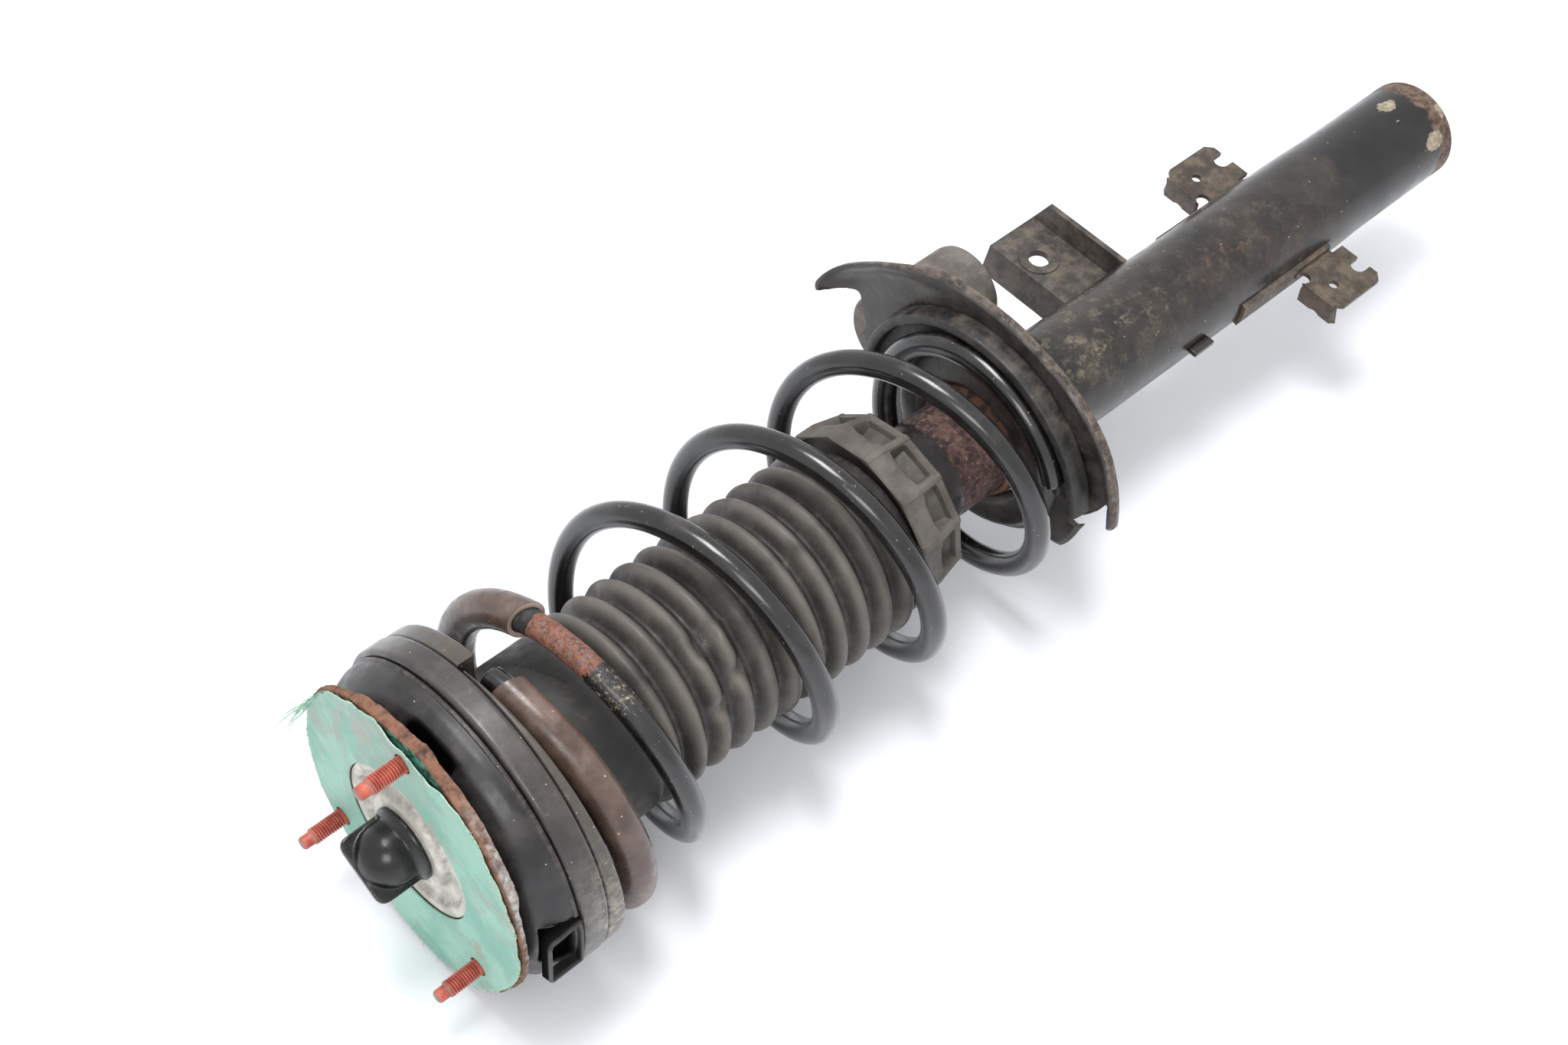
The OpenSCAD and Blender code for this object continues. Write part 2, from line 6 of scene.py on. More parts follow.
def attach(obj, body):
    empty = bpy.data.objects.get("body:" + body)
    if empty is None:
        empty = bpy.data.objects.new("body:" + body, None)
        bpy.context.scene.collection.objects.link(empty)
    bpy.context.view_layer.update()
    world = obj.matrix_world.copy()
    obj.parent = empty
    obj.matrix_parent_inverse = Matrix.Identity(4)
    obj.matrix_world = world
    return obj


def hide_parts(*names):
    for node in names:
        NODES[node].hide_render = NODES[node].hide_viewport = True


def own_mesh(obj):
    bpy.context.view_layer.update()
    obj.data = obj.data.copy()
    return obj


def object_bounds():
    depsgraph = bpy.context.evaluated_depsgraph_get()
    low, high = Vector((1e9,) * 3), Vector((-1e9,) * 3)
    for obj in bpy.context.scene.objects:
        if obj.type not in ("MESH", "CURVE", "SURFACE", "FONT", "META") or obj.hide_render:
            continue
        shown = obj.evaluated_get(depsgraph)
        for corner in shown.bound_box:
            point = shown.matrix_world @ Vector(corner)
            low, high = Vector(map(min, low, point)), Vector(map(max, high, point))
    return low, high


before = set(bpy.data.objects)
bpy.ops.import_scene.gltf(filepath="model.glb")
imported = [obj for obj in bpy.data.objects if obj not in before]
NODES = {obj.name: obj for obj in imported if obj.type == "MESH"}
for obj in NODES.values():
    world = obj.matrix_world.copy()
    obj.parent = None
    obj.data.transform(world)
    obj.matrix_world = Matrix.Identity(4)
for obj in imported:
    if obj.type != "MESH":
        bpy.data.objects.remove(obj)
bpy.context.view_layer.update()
TOP, LOW = "top_mount", "damper_body"
scene = bpy.context.scene

# ---- camera, where the photograph was taken from
CAMERA_PLACE = (-0.2644, -0.5048, 0.7962)
CAMERA_RIGHT = Vector((0.7273, -0.6863, 0.0))
CAMERA_DOWN = Vector((-0.5075, -0.5378, -0.6733))
CAMERA_AHEAD = Vector((0.4621, 0.4897, -0.7394))
SENSOR_MM, LENS_MM, FAR_END = 36.0, 53.8, 50.0

cam = bpy.data.objects.new("camera", bpy.data.cameras.new("camera"))
scene.collection.objects.link(cam)
cam.data.sensor_width, cam.data.lens, cam.data.clip_end = SENSOR_MM, LENS_MM, FAR_END
turn = Matrix((CAMERA_RIGHT, -CAMERA_DOWN, -CAMERA_AHEAD)).transposed().to_4x4()
cam.matrix_world = Matrix.Translation(CAMERA_PLACE) @ turn
scene.camera = cam

# ---- dimensions shared by several pieces
# Shapes are worked out in natural millimetres: across the strut, up, and along it from the mounting face.
ROLL = math.radians(8.5)  # turn from the natural up direction to the row's
CR, SR = math.cos(ROLL), math.sin(ROLL)
OFFSET, OFFSET_ANGLE = 3.4, 208.5  # the mount's rubber parts sit this far off the strut's axis
STUD_CIRCLE = 63.0
STUDS = [90, 222.8, -42.8]
PLATE_R = 75.0
WINDOW_R = 39.1  # round window in the mounting plate
WIRE_R = 6.0
SLEEVE_R = 8.62
COIL_START, COIL_PHASE, COIL_END = 48, 66.5, 1890.0
TUBE_HOLE, TUBE_R, TUBE_END = 23.6, 28.2, 679
SEAT_X = 339
RNG = np.random.default_rng(11)


# ---- helpers
def lay(P):
    """Natural millimetres (across, up, along) to the row frame in metres."""
    P = np.asarray(P, float)
    across, up, along = P[..., 0], P[..., 1], P[..., 2]
    return np.stack([along, across * CR - up * SR, across * SR + up * CR], -1) / 1000.0


def smooth01(x, a, b):
    """Smooth step from 0 at a to 1 at b."""
    t = np.clip((np.asarray(x, float) - a) / (b - a), 0, 1)
    return t * t * (3 - 2 * t)


def window(x, a, b, c, d):
    """Rises from a to b and falls again from c to d."""
    return smooth01(x, a, b) * (1 - smooth01(x, c, d))


def gauss(x, c, w):
    return np.exp(-((np.asarray(x, float) - c) / w) ** 2)


def wrap180(a):
    return (np.asarray(a, float) + 180) % 360 - 180


def bell(a, c, w):
    """Gauss curve of an angle in degrees."""
    return gauss(wrap180(a - c), 0, w)


def polar(r, a):
    a = np.radians(a)
    return np.stack([r * np.cos(a), r * np.sin(a)], -1)


def around(r, t, x):
    """Points at radius r, angle t in radians and place x along the strut."""
    return np.stack([r * np.cos(t), r * np.sin(t), x + 0 * r], -1)


ECC = np.array([*polar(OFFSET, OFFSET_ANGLE), 0.0])


def hash3(i, j, k, seed):
    """Repeatable value from 0 to 1 for each cell of a cubic grid."""
    n = (i * 374761393 + j * 668265263 + k * 2147483647 + seed * 974711) & 0xFFFFFFFF
    n = ((n ^ (n >> 13)) * 1274126177) & 0xFFFFFFFF
    return ((n ^ (n >> 16)) & 0xFFFF) / 65535.0


def vnoise(P, size, seed=0):
    """Smooth value noise from -1 to 1 with cells of that size."""
    Q = np.asarray(P, float) / size + 1000.0
    I = np.floor(Q).astype(np.int64)
    F = Q - I
    F = F * F * (3 - 2 * F)
    out = 0
    for a in (0, 1):
        for b in (0, 1):
            for c in (0, 1):
                w = F[..., 0] if a else 1 - F[..., 0]
                w = w * (F[..., 1] if b else 1 - F[..., 1])
                w = w * (F[..., 2] if c else 1 - F[..., 2])
                out = out + w * hash3(I[..., 0] + a, I[..., 1] + b, I[..., 2] + c, seed)
    return out * 2 - 1


def fbm(P, size, octaves=3, seed=0):
    """Sum of value noises, each with half the size and half the height of the one before."""
    out, amp = 0, 1.0
    for o in range(octaves):
        out = out + amp * vnoise(P, size / 2 ** o, seed + o)
        amp *= 0.5
    return out


def add_object(name, mesh, body, mat, replaces=()):
    ob = bpy.data.objects.new(name, mesh)
    scene.collection.objects.link(ob)
    mesh.materials.clear()
    mesh.materials.append(mat)
    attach(ob, body)
    if replaces:
        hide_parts(*replaces)
    return ob


def finish_mesh(mesh, angle=40):
    """Joins double points, turns the faces outward and shades all but the sharp edges smooth."""
    bm = bmesh.new()
    bm.from_mesh(mesh)
    bmesh.ops.delete(bm, geom=[v for v in bm.verts if not v.link_faces], context="VERTS")
    bmesh.ops.remove_doubles(bm, verts=bm.verts, dist=1e-6)
    bmesh.ops.recalc_face_normals(bm, faces=bm.faces)
    for f in bm.faces:
        f.smooth = True
    for e in bm.edges:
        e.smooth = len(e.link_faces) == 2 and e.calc_face_angle(0) < math.radians(angle)
    bm.to_mesh(mesh)
    bm.free()


def raw_mesh(name, V, faces, attrs=None):
    """Mesh from natural millimetres; each attribute has one value for each point."""
    me = bpy.data.meshes.new(name)
    me.from_pydata(lay(V).tolist(), [], faces)
    for key, values in (attrs or {}).items():
        at = me.attributes.new(key, "FLOAT", "POINT")
        at.data.foreach_set("value", np.asarray(values, np.float32).reshape(-1))
    return me


def grid(name, P, body, mat, wrap_u=False, wrap_v=False, cap_u=False, attrs=None, replaces=(),
         angle=40):
    """Quad grid from P[u, v] in natural millimetres. cap_u closes both ends with polygons."""
    nu, nv = P.shape[:2]
    U, W = np.meshgrid(np.arange(nu if wrap_u else nu - 1), np.arange(nv if wrap_v else nv - 1),
                       indexing="ij")
    U2, W2 = (U + 1) % nu, (W + 1) % nv
    faces = np.stack([U * nv + W, U2 * nv + W, U2 * nv + W2, U * nv + W2], -1).reshape(-1, 4).tolist()
    if cap_u:
        faces.append(list(range(nv)))
        faces.append([(nu - 1) * nv + j for j in range(nv - 1, -1, -1)])
    me = raw_mesh(name, P.reshape(-1, 3), faces, attrs)
    finish_mesh(me, angle)
    return add_object(name, me, body, mat, replaces)


def sheet(name, A, B, body, mat, keep, attrs=None, replaces=(), angle=40):
    """Closed sheet between the point grids A and B; the edges of the kept cells are walled."""
    nu, nv = A.shape[:2]
    N = nu * nv
    U, W = np.arange(nu)[:, None], np.arange(nv - 1)[None, :]
    U2 = (U + 1) % nu
    F = np.stack([U * nv + W, U2 * nv + W, U2 * nv + W + 1, U * nv + W + 1], -1)[keep]
    E = np.stack([F, np.roll(F, -1, 1)], -1).reshape(-1, 2)
    code, back = E[:, 0] * N + E[:, 1], E[:, 1] * N + E[:, 0]
    rim = E[~np.isin(code, back)]
    walls = np.stack([rim[:, 1], rim[:, 0], rim[:, 0] + N, rim[:, 1] + N], -1)
    faces = np.concatenate([F, F[:, ::-1] + N, walls]).tolist()
    both = {key: np.tile(np.asarray(values).reshape(-1), 2) for key, values in (attrs or {}).items()}
    me = raw_mesh(name, np.concatenate([A.reshape(-1, 3), B.reshape(-1, 3)]), faces, both)
    finish_mesh(me, angle)
    return add_object(name, me, body, mat, replaces)


def fillet(pts, rad, seg=4, closed=False):
    """Rounds the corners of a 2D polyline; rad is one number or one for each point."""
    pts = [np.array(p, float) for p in pts]
    n = len(pts)
    rads = [rad] * n if np.isscalar(rad) else list(rad)
    out = []
    for i, p in enumerate(pts):
        if not closed and i in (0, n - 1) or rads[i] <= 0:
            out.append(p)
            continue
        a, b = pts[i - 1] - p, pts[(i + 1) % n] - p
        la, lb = np.linalg.norm(a), np.linalg.norm(b)
        d = min(rads[i], la * 0.48, lb * 0.48)
        pa, pb = p + a / la * d, p + b / lb * d
        for k in range(seg + 1):
            t = k / seg
            out.append((1 - t) ** 2 * pa + 2 * t * (1 - t) * p + t * t * pb)
    return np.array(out)


def resample(prof, step):
    """The same outline with a point at least every step."""
    out = [prof[0]]
    for a, b in zip(prof[:-1], prof[1:]):
        n = max(1, int(math.ceil(np.linalg.norm(b - a) / step)))
        out += [a + (b - a) * (k + 1) / n for k in range(n)]
    return np.array(out)


def lathe(name, prof, body, mat, n=180, shift=0.0, disp=None, attrs=None, replaces=(), angle=40):
    """Turned shell from a closed outline of (radius, along) pairs.

    disp(degrees, radius, along, P) gives a radial move, and each attribute is a function of the same.
    """
    T = np.linspace(0, 2 * np.pi, n, endpoint=False)[:, None]
    R, X = prof[None, :, 0] + 0 * T, prof[None, :, 1] + 0 * T
    here = (np.degrees(T) + 0 * R, R, X)
    P = around(R, T, X)
    if disp is not None:
        P = around(R + disp(*here, P), T, X)
    A = {key: f(*here, P) for key, f in (attrs or {}).items()}
    return grid(name, P + shift, body, mat, wrap_u=True, wrap_v=True, attrs=A, replaces=replaces,
                angle=angle)


def arc_sweep(name, prof, a0, a1, step, body, mat, replaces=(), move=None):
    """Closed section of (radius, along) points swept between two angles, with closed ends."""
    A = np.linspace(a0, a1, int((a1 - a0) / step) + 1)
    R, X = prof[None, :, 0] + 0 * A[:, None], prof[None, :, 1] + 0 * A[:, None]
    T = A[:, None] + 0 * R
    dr, dx = move(T, R, X, around(R, np.radians(T), X))
    P = around(R + dr, np.radians(T), X + dx)
    return grid(name, P, body, mat, wrap_v=True, cap_u=True, replaces=replaces, angle=45)


def cad_copy(node, body, mat, bevel, seg):
    """Rounded copy of a CAD node's mesh that is shown instead of it."""
    me = NODES[node].data.copy()
    bm = bmesh.new()
    bm.from_mesh(me)
    bmesh.ops.remove_doubles(bm, verts=bm.verts, dist=2e-6)
    bmesh.ops.dissolve_limit(bm, angle_limit=math.radians(1.0), verts=bm.verts, edges=bm.edges)
    corner = math.radians(32)
    edges = [e for e in bm.edges if len(e.link_faces) == 2 and e.calc_face_angle(0) > corner]
    bmesh.ops.bevel(bm, geom=edges, offset=bevel / 1000, offset_type="OFFSET", segments=seg, profile=0.5,
                    affect="EDGES", clamp_overlap=True)
    bmesh.ops.triangulate(bm, faces=[f for f in bm.faces if len(f.verts) > 4])
    for f in bm.faces:
        f.smooth = True
    for e in bm.edges:
        e.smooth = len(e.link_faces) == 2 and e.calc_face_angle(0) < math.radians(35)
    bm.to_mesh(me)
    bm.free()
    return add_object(node + "_shape", me, body, mat, (node,))


# ---- builder for procedural materials
def col(r, g, b):
    """Display colour from 0 to 255 as linear light."""
    f = lambda c: c / 12.92 if c <= 0.04045 else ((c + 0.055) / 1.055) ** 2.4
    return (f(r / 255), f(g / 255), f(b / 255), 1)


class Mat:
    """Small builder for a procedural material.

    A value is a number, a socket, the name of a mesh attribute, or the settings of a noise as a tuple:
    (size in mm, detail, roughness, low, high), where low and high are what becomes 0 and 1.
    A colour is a socket or three display numbers.
    """

    def __init__(self, name, rough=0.5, metal=0.0, spec=0.5, coat=0.0, coat_rough=0.1):
        self.m = bpy.data.materials.new(name)
        self.m.use_nodes = True
        self.nt = self.m.node_tree
        self.b = self.nt.nodes["Principled BSDF"]
        for key, v in {"Roughness": rough, "Metallic": metal, "Specular IOR Level": spec,
                       "Coat Weight": coat, "Coat Roughness": coat_rough}.items():
            self.b.inputs[key].default_value = v
        self.obj = self.node("TexCoord").outputs["Object"]
        self.geo = self.node("NewGeometry")

    def node(self, kind, **settings):
        n = self.nt.nodes.new("ShaderNode" + kind)
        for key, v in settings.items():
            setattr(n, key, v)
        return n

    def put(self, sock, v):
        """Links a value or a colour to an input, or sets it there."""
        if isinstance(v, tuple) and sock.type == "RGBA":
            sock.default_value = col(*v)
        elif isinstance(v, tuple):
            self.nt.links.new(self.noise(*v), sock)
        elif isinstance(v, str):
            n = self.node("Attribute", attribute_name=v)
            self.nt.links.new(n.outputs["Fac"], sock)
        elif isinstance(v, (int, float)):
            sock.default_value = v
        else:
            self.nt.links.new(v, sock)

    def set(self, key, v):
        self.put(self.b.inputs[key], v)

    def noise(self, size, detail=4, rough=0.55, low=None, high=None, dist=0.0):
        n = self.node("TexNoise")
        self.put(n.inputs["Vector"], self.obj)
        for key, v in {"Scale": 1000.0 / size, "Detail": detail, "Roughness": rough,
                       "Distortion": dist}.items():
            n.inputs[key].default_value = v
        o = n.outputs[0]
        return o if low is None else self.map(o, low, high)

    def specks(self, size, low, high):
        """Small hard-edged spots."""
        n = self.node("TexVoronoi")
        self.put(n.inputs["Vector"], self.obj)
        n.inputs["Scale"].default_value = 1000.0 / size
        return self.map(n.outputs["Distance"], high, low)

    def map(self, v, a, b, c=0.0, d=1.0):
        """Smooth step from c where v is a to d where v is b."""
        n = self.node("MapRange", interpolation_type="SMOOTHSTEP")
        self.put(n.inputs[0], v)
        for i, x in enumerate((a, b, c, d)):
            n.inputs[i + 1].default_value = x
        return n.outputs[0]

    def patchy(self, noise, c, d):
        """Value that wanders between c and d."""
        return self.map(noise, 0.3, 0.7, c, d)

    def math(self, op, a, b):
        n = self.node("Math", operation=op)
        self.put(n.inputs[0], a)
        self.put(n.inputs[1], b)
        return n.outputs[0]

    def mul(self, v, *more):
        for x in more:
            v = self.math("MULTIPLY", v, x)
        return v

    def most(self, v, *more):
        """The largest of the values."""
        for x in more:
            v = self.math("MAXIMUM", v, x)
        return v

    def ragged(self, v, amount, noise):
        """Value with an uneven edge: the noise is added about its middle."""
        return self.math("ADD", v, self.mul(self.math("SUBTRACT", noise, 0.5), amount))

    def mix(self, f, a, b):
        n = self.node("Mix", data_type="RGBA")
        self.put(n.inputs[0], f)
        self.put(n.inputs[6], a)
        self.put(n.inputs[7], b)
        return n.outputs[2]

    def over(self, base, tint, *factors):
        """The tint laid over the base where all the factors are high."""
        return self.mix(self.mul(*factors), base, tint)

    def axis(self, i):
        """The i-th coordinate of the point, in metres of the row frame."""
        n = self.node("SeparateXYZ")
        self.put(n.inputs[0], self.obj)
        return n.outputs[i]

    def up(self, a, b):
        """1 where the surface faces up."""
        n = self.node("SeparateXYZ")
        self.put(n.inputs[0], self.geo.outputs["Normal"])
        return self.map(n.outputs[2], a, b)

    def dusty(self, base, tint, amount, size, low, high, facing):
        """Lighter tint on faces turned up, in soft uneven patches: settled dust, and on the housing also a
        painted reflection of the light above; the colour and the cover.
        """
        cover = self.mul((size, 6, 0.62, low, high), amount, self.up(*facing))
        return self.mix(cover, base, tint), cover

    def bump(self, *layers):
        """Each layer is a height value, its strength and its depth in mm."""
        prev = None
        for h, strength, depth in layers:
            n = self.node("Bump")
            n.inputs["Strength"].default_value = strength
            n.inputs["Distance"].default_value = depth / 1000.0
            self.put(n.inputs["Height"], h)
            if prev is not None:
                self.put(n.inputs["Normal"], prev)
            prev = n.outputs[0]
        self.set("Normal", prev)

    def done(self, color, rough=None, metal=None):
        for key, v in {"Base Color": color, "Roughness": rough, "Metallic": metal}.items():
            if v is not None:
                self.set(key, v)
        return self.m


def rust_color(m, size):
    c = m.mix((size, 8, 0.7, 0.35, 0.65), (80, 54, 42), (136, 92, 70))
    c = m.over(c, (122, 98, 84), (size * 0.35, 5, 0.7, 0.4, 0.66), 0.7)
    return m.over(c, (58, 40, 32), (size * 2.3, 3, 0.6, 0.6, 0.78))


def mat_gasket():
    m = Mat("gasket_paper", 0.62, spec=0.35)
    c = m.mix((30, 3, 0.55, 0.38, 0.6), (124, 172, 156), (146, 188, 172))
    c = m.over(c, (150, 158, 148), (19, 6, 0.62, 0.48, 0.7, 0.8), 0.8)
    c = m.over(c, (118, 108, 98), (9, 5, 0.7, 0.6, 0.78), 0.5)
    c = m.over(c, (158, 160, 152), "smear", (12, 5, 0.6, 0.36, 0.6))
    c = m.over(c, (166, 190, 168), "edge", (3.2, 4, 0.6, 0.35, 0.6))
    c = m.over(c, (70, 74, 66), m.specks(5.5, 0.05, 0.11), (20, 2, 0.55, 0.45, 0.7))
    m.bump(((1.2, 3, 0.6), 0.12, 0.3), ((14, 4), 0.3, 1.2))
    return m.done(c, m.patchy((8, 4), 0.5, 0.75))


def mat_fibre():
    m = Mat("gasket_fibre", 0.7, spec=0.3)
    return m.done(m.mix((4, 3, 0.55, 0.35, 0.65), (112, 154, 138), (160, 190, 170)))


def mat_rust_plate():
    m = Mat("rusty_steel_plate", 0.8, spec=0.3)
    c = rust_color(m, 5)
    bare = m.mul("bare", (6, 6, 0.65, 0.32, 0.55))
    c = m.mix(bare, c, m.mix((2.5, 5, 0.55, 0.35, 0.65), (120, 116, 112), (176, 172, 168)))
    c = m.mix("torn", c, m.mix((5, 4, 0.55, 0.42, 0.58), (38, 70, 62), (92, 150, 132)))
    m.bump(((1.6, 6, 0.7), 0.5, 0.7), ((5, 4, 0.6), 0.5, 1.4))
    return m.done(c, m.map(bare, 0.0, 1.0, 0.85, 0.5))


def mat_stud():
    m = Mat("red_lacquered_stud", 0.42, spec=0.45)
    c = m.mix((5, 4, 0.6, 0.35, 0.65), (160, 70, 56), (194, 98, 80))
    # painted shade: the thread grooves are coloured darker so that the thread shows
    c = m.over(c, (92, 42, 38), "root_shade", 0.9)
    c = m.over(c, (128, 114, 106), "tip", (2.2, 5, 0.65, 0.3, 0.55))
    c = m.over(c, (120, 92, 84), (2.4, 6, 0.7, 0.6, 0.76), 0.7)
    m.bump(((1.5, 4, 0.6), 0.15, 0.25))
    return m.done(c, m.patchy((3, 4), 0.34, 0.6))


def mat_cup():
    m = Mat("weathered_zinc_cup", 0.45, metal=0.55, spec=0.5)
    c = m.mix((14, 5, 0.6, 0.38, 0.62), (176, 172, 163), (204, 200, 192))
    n = (1.6, 6, 0.75, 0.56, 0.68)
    # painted shade: darker on the groove's sloping walls and at the land's edge
    c = m.over(c, (118, 116, 110), "groove", (4, 5, 0.55, 0.4, 0.65), 0.5)
    c = m.over(c, (118, 112, 102), n, (14, 3, 0.55, 0.42, 0.62), 0.5)
    c = m.over(c, (72, 70, 66), m.specks(3.0, 0.04, 0.09), 0.6)
    m.bump(((1.2, 5, 0.7), 0.25, 0.3), ((7, 3), 0.2, 0.6))
    return m.done(c, m.patchy((4, 5), 0.4, 0.68), m.map(n, 0.0, 1.0, 0.55, 0.2))


def mat_cap():
    m = Mat("polished_rubber_cap", 0.24, spec=0.5)
    c = m.mix((8, 5, 0.6, 0.4, 0.66), (14, 13, 13), (28, 25, 23))
    c = m.over(c, (96, 76, 62), (2.6, 6, 0.75, 0.62, 0.78), 0.3)
    c = m.over(c, (120, 106, 92), m.specks(2.4, 0.04, 0.09), (9, 3, 0.55, 0.56, 0.7), 0.5)
    m.bump(((0.9, 4, 0.6), 0.06, 0.2), ((6, 4), 0.16, 0.5))
    return m.done(c, m.patchy((5, 5, 0.6), 0.2, 0.36))


def mat_housing():
    m = Mat("satin_black_housing", 0.42, spec=0.5)
    c = m.mix((16, 5, 0.6, 0.36, 0.64), (27, 26, 27), (42, 40, 41))
    # the lighter tint on upward faces is settled dust and also a painted reflection of the light above
    c = m.dusty(c, (88, 80, 77), 0.34, 18, 0.42, 0.72, (-0.2, 0.9))[0]
    c = m.over(c, (88, 79, 73), "rim", (3.5, 6, 0.65, 0.4, 0.66), 0.7)
    c = m.over(c, (120, 108, 98), (1.1, 4, 0.7, 0.66, 0.76), 0.55)
    c = m.over(c, (168, 150, 128), m.specks(6.5, 0.035, 0.07), 0.9)
    # painted shade: the sunk box and the pocket are coloured near black, with their specular turned off
    c = m.over(c, (4, 4, 4), "recess_shade")
    m.set("Specular IOR Level", m.map("recess_shade", 0.0, 0.6, 0.5, 0.03))
    m.bump(((0.8, 4, 0.65), 0.08, 0.25), ((11, 4), 0.12, 0.8))
    return m.done(c, m.most(m.patchy((9, 5, 0.6), 0.3, 0.48), "recess_shade"))


def mat_band():
    m = Mat("brown_black_rubber_band", 0.4, spec=0.5, coat=0.5, coat_rough=0.28)
    c = m.mix((15, 6, 0.62, 0.36, 0.64), (40, 37, 35), (58, 53, 49))
    c = m.over(c, (72, 64, 54), "ramp", (10, 5, 0.55, 0.25, 0.6), 0.7)
    c = m.over(c, (20, 16, 14), "seam", (3, 5, 0.55, 0.15, 0.5))
    c = m.dusty(c, (108, 97, 91), 0.42, 22, 0.42, 0.72, (0.1, 0.95))[0]
    c = m.over(c, (118, 108, 92), (3.5, 6, 0.7, 0.58, 0.72), (30, 2, 0.55, 0.4, 0.6), 0.6)
    c = m.over(c, (146, 134, 116), "dirt", (4.5, 6, 0.7, 0.42, 0.62), 0.9)
    c = m.over(c, (170, 154, 134), m.specks(6.0, 0.035, 0.075), 0.85)
    m.bump(((0.9, 4, 0.65), 0.1, 0.3), ((9, 5, 0.6), 0.15, 0.8))
    return m.done(c, m.patchy((10, 5, 0.6), 0.32, 0.56))


def mat_spring():
    m = Mat("painted_spring_wire", 0.24, spec=0.5, coat=0.5, coat_rough=0.13)
    c = m.mix((14, 5, 0.6, 0.36, 0.66), (13, 12, 12), (28, 26, 26))
    c, dust = m.dusty(c, (92, 84, 82), 0.36, 18, 0.48, 0.76, (0.35, 1.0))
    c = m.over(c, (66, 55, 50), (5.5, 6, 0.7, 0.58, 0.72), 0.25)
    c = m.over(c, (150, 138, 122), m.specks(5.5, 0.035, 0.08), 0.8)
    c = m.over(c, (104, 92, 84), (2.6, 5, 0.6, 0.66, 0.71), (34, 2, 0.55, 0.42, 0.6))
    # dark bare wire where the sleeve ends, then the rusty stretch, then the flaking one
    c = m.mix("dark", c, m.mix((3, 5, 0.65, 0.38, 0.64), (30, 30, 30), (60, 58, 56)))
    rusty = m.map(m.ragged("rusty", 1.6, (5, 6, 0.7)), 0.42, 0.52)
    rc = m.mix((3.2, 7, 0.7, 0.36, 0.62), (86, 54, 42), (142, 90, 68))
    rc = m.over(rc, (116, 102, 102), (1.5, 5, 0.7, 0.5, 0.62))
    rc = m.over(rc, (62, 36, 28), (1.1, 5, 0.7, 0.56, 0.64))
    c = m.mix(rusty, c, rc)
    flake = m.map(m.ragged("flaky", 2.0, (2.6, 7, 0.75)), 0.86, 0.95)
    fc = m.mix((1.4, 5, 0.7, 0.5, 0.62), (88, 72, 54), (180, 170, 158))
    c = m.mix(flake, c, fc)
    bare = m.most(rusty, "dark")
    rough = m.map(bare, 0.0, 1.0, 0.24, 0.72)
    m.set("Coat Weight", m.map(bare, 0.0, 0.6, 0.45, 0.0))
    rough = m.math("ADD", rough, m.mul(dust, 0.45))
    crust = m.mul((2.2, 6, 0.75), m.most(rusty, "flaky"))
    m.bump(((1.3, 4, 0.6), 0.05, 0.2), ((12, 3), 0.1, 0.8), (crust, 0.7, 0.9))
    return m.done(c, rough)


def mat_sleeve():
    m = Mat("brown_rubber_sleeve", 0.34, spec=0.5)
    c = m.mix((18, 5, 0.6, 0.34, 0.64), (68, 53, 46), (94, 76, 67))
    c = m.over(c, (66, 52, 42), (5, 6, 0.7, 0.58, 0.74), 0.45)
    c = m.dusty(c, (142, 125, 117), 0.4, 16, 0.44, 0.72, (0.3, 1.0))[0]
    c = m.over(c, (74, 66, 48), "under", (6, 6, 0.7, 0.36, 0.6))
    c = m.over(c, (200, 184, 168), m.specks(7, 0.04, 0.08), 0.85)
    c = m.over(c, (158, 138, 126), "cut")
    m.bump(((1.1, 4, 0.6), 0.08, 0.25), ((10, 4), 0.16, 0.9))
    return m.done(c, m.patchy((4, 5, 0.6), 0.2, 0.4))


def mat_boot():
    m = Mat("dusty_boot_rubber", 0.52, spec=0.4)
    c = m.mix((18, 5, 0.6, 0.36, 0.64), (52, 49, 47), (70, 66, 62))
    c = m.over(c, (42, 42, 43), "plain", 0.65)
    c = m.over(c, (108, 103, 97), "crest", (30, 4, 0.55, 0.2, 0.6), 0.7)
    # painted shade: the fold valleys are coloured darker than the bare rubber
    c = m.over(c, (30, 28, 26), "root_shade", (5, 5, 0.65, 0.26, 0.6), 0.75)
    c = m.over(c, (108, 98, 87), (9, 6, 0.7, 0.55, 0.75), m.up(0.0, 0.9), 0.3)
    c = m.over(c, (20, 19, 18), "seam", 0.85)
    c = m.over(c, (126, 118, 108), (1.0, 4, 0.75, 0.6, 0.74), 0.3)
    m.bump(((0.8, 4, 0.65), 0.12, 0.25), ((9, 5, 0.6), 0.18, 0.8))
    return m.done(c, m.patchy((8, 5, 0.6), 0.42, 0.64))


def mat_collar():
    m = Mat("moulded_grey_collar", 0.62, spec=0.4)
    c = m.mix((20, 5, 0.58, 0.36, 0.64), (74, 70, 65), (96, 91, 85))
    # painted shade: the sunk pockets are coloured darker
    c = m.over(c, (58, 54, 50), "hollow", (8, 5, 0.55, 0.2, 0.55), 0.6)
    c = m.over(c, (58, 52, 46), (3.5, 6, 0.7, 0.56, 0.72), 0.55)
    c = m.over(c, (118, 111, 104), m.up(0.3, 1.0), (12, 5, 0.55, 0.4, 0.66), 0.4)
    m.bump(((0.9, 4, 0.65), 0.15, 0.3), ((6, 4), 0.12, 0.6))
    return m.done(c, m.patchy((7, 5), 0.52, 0.74))


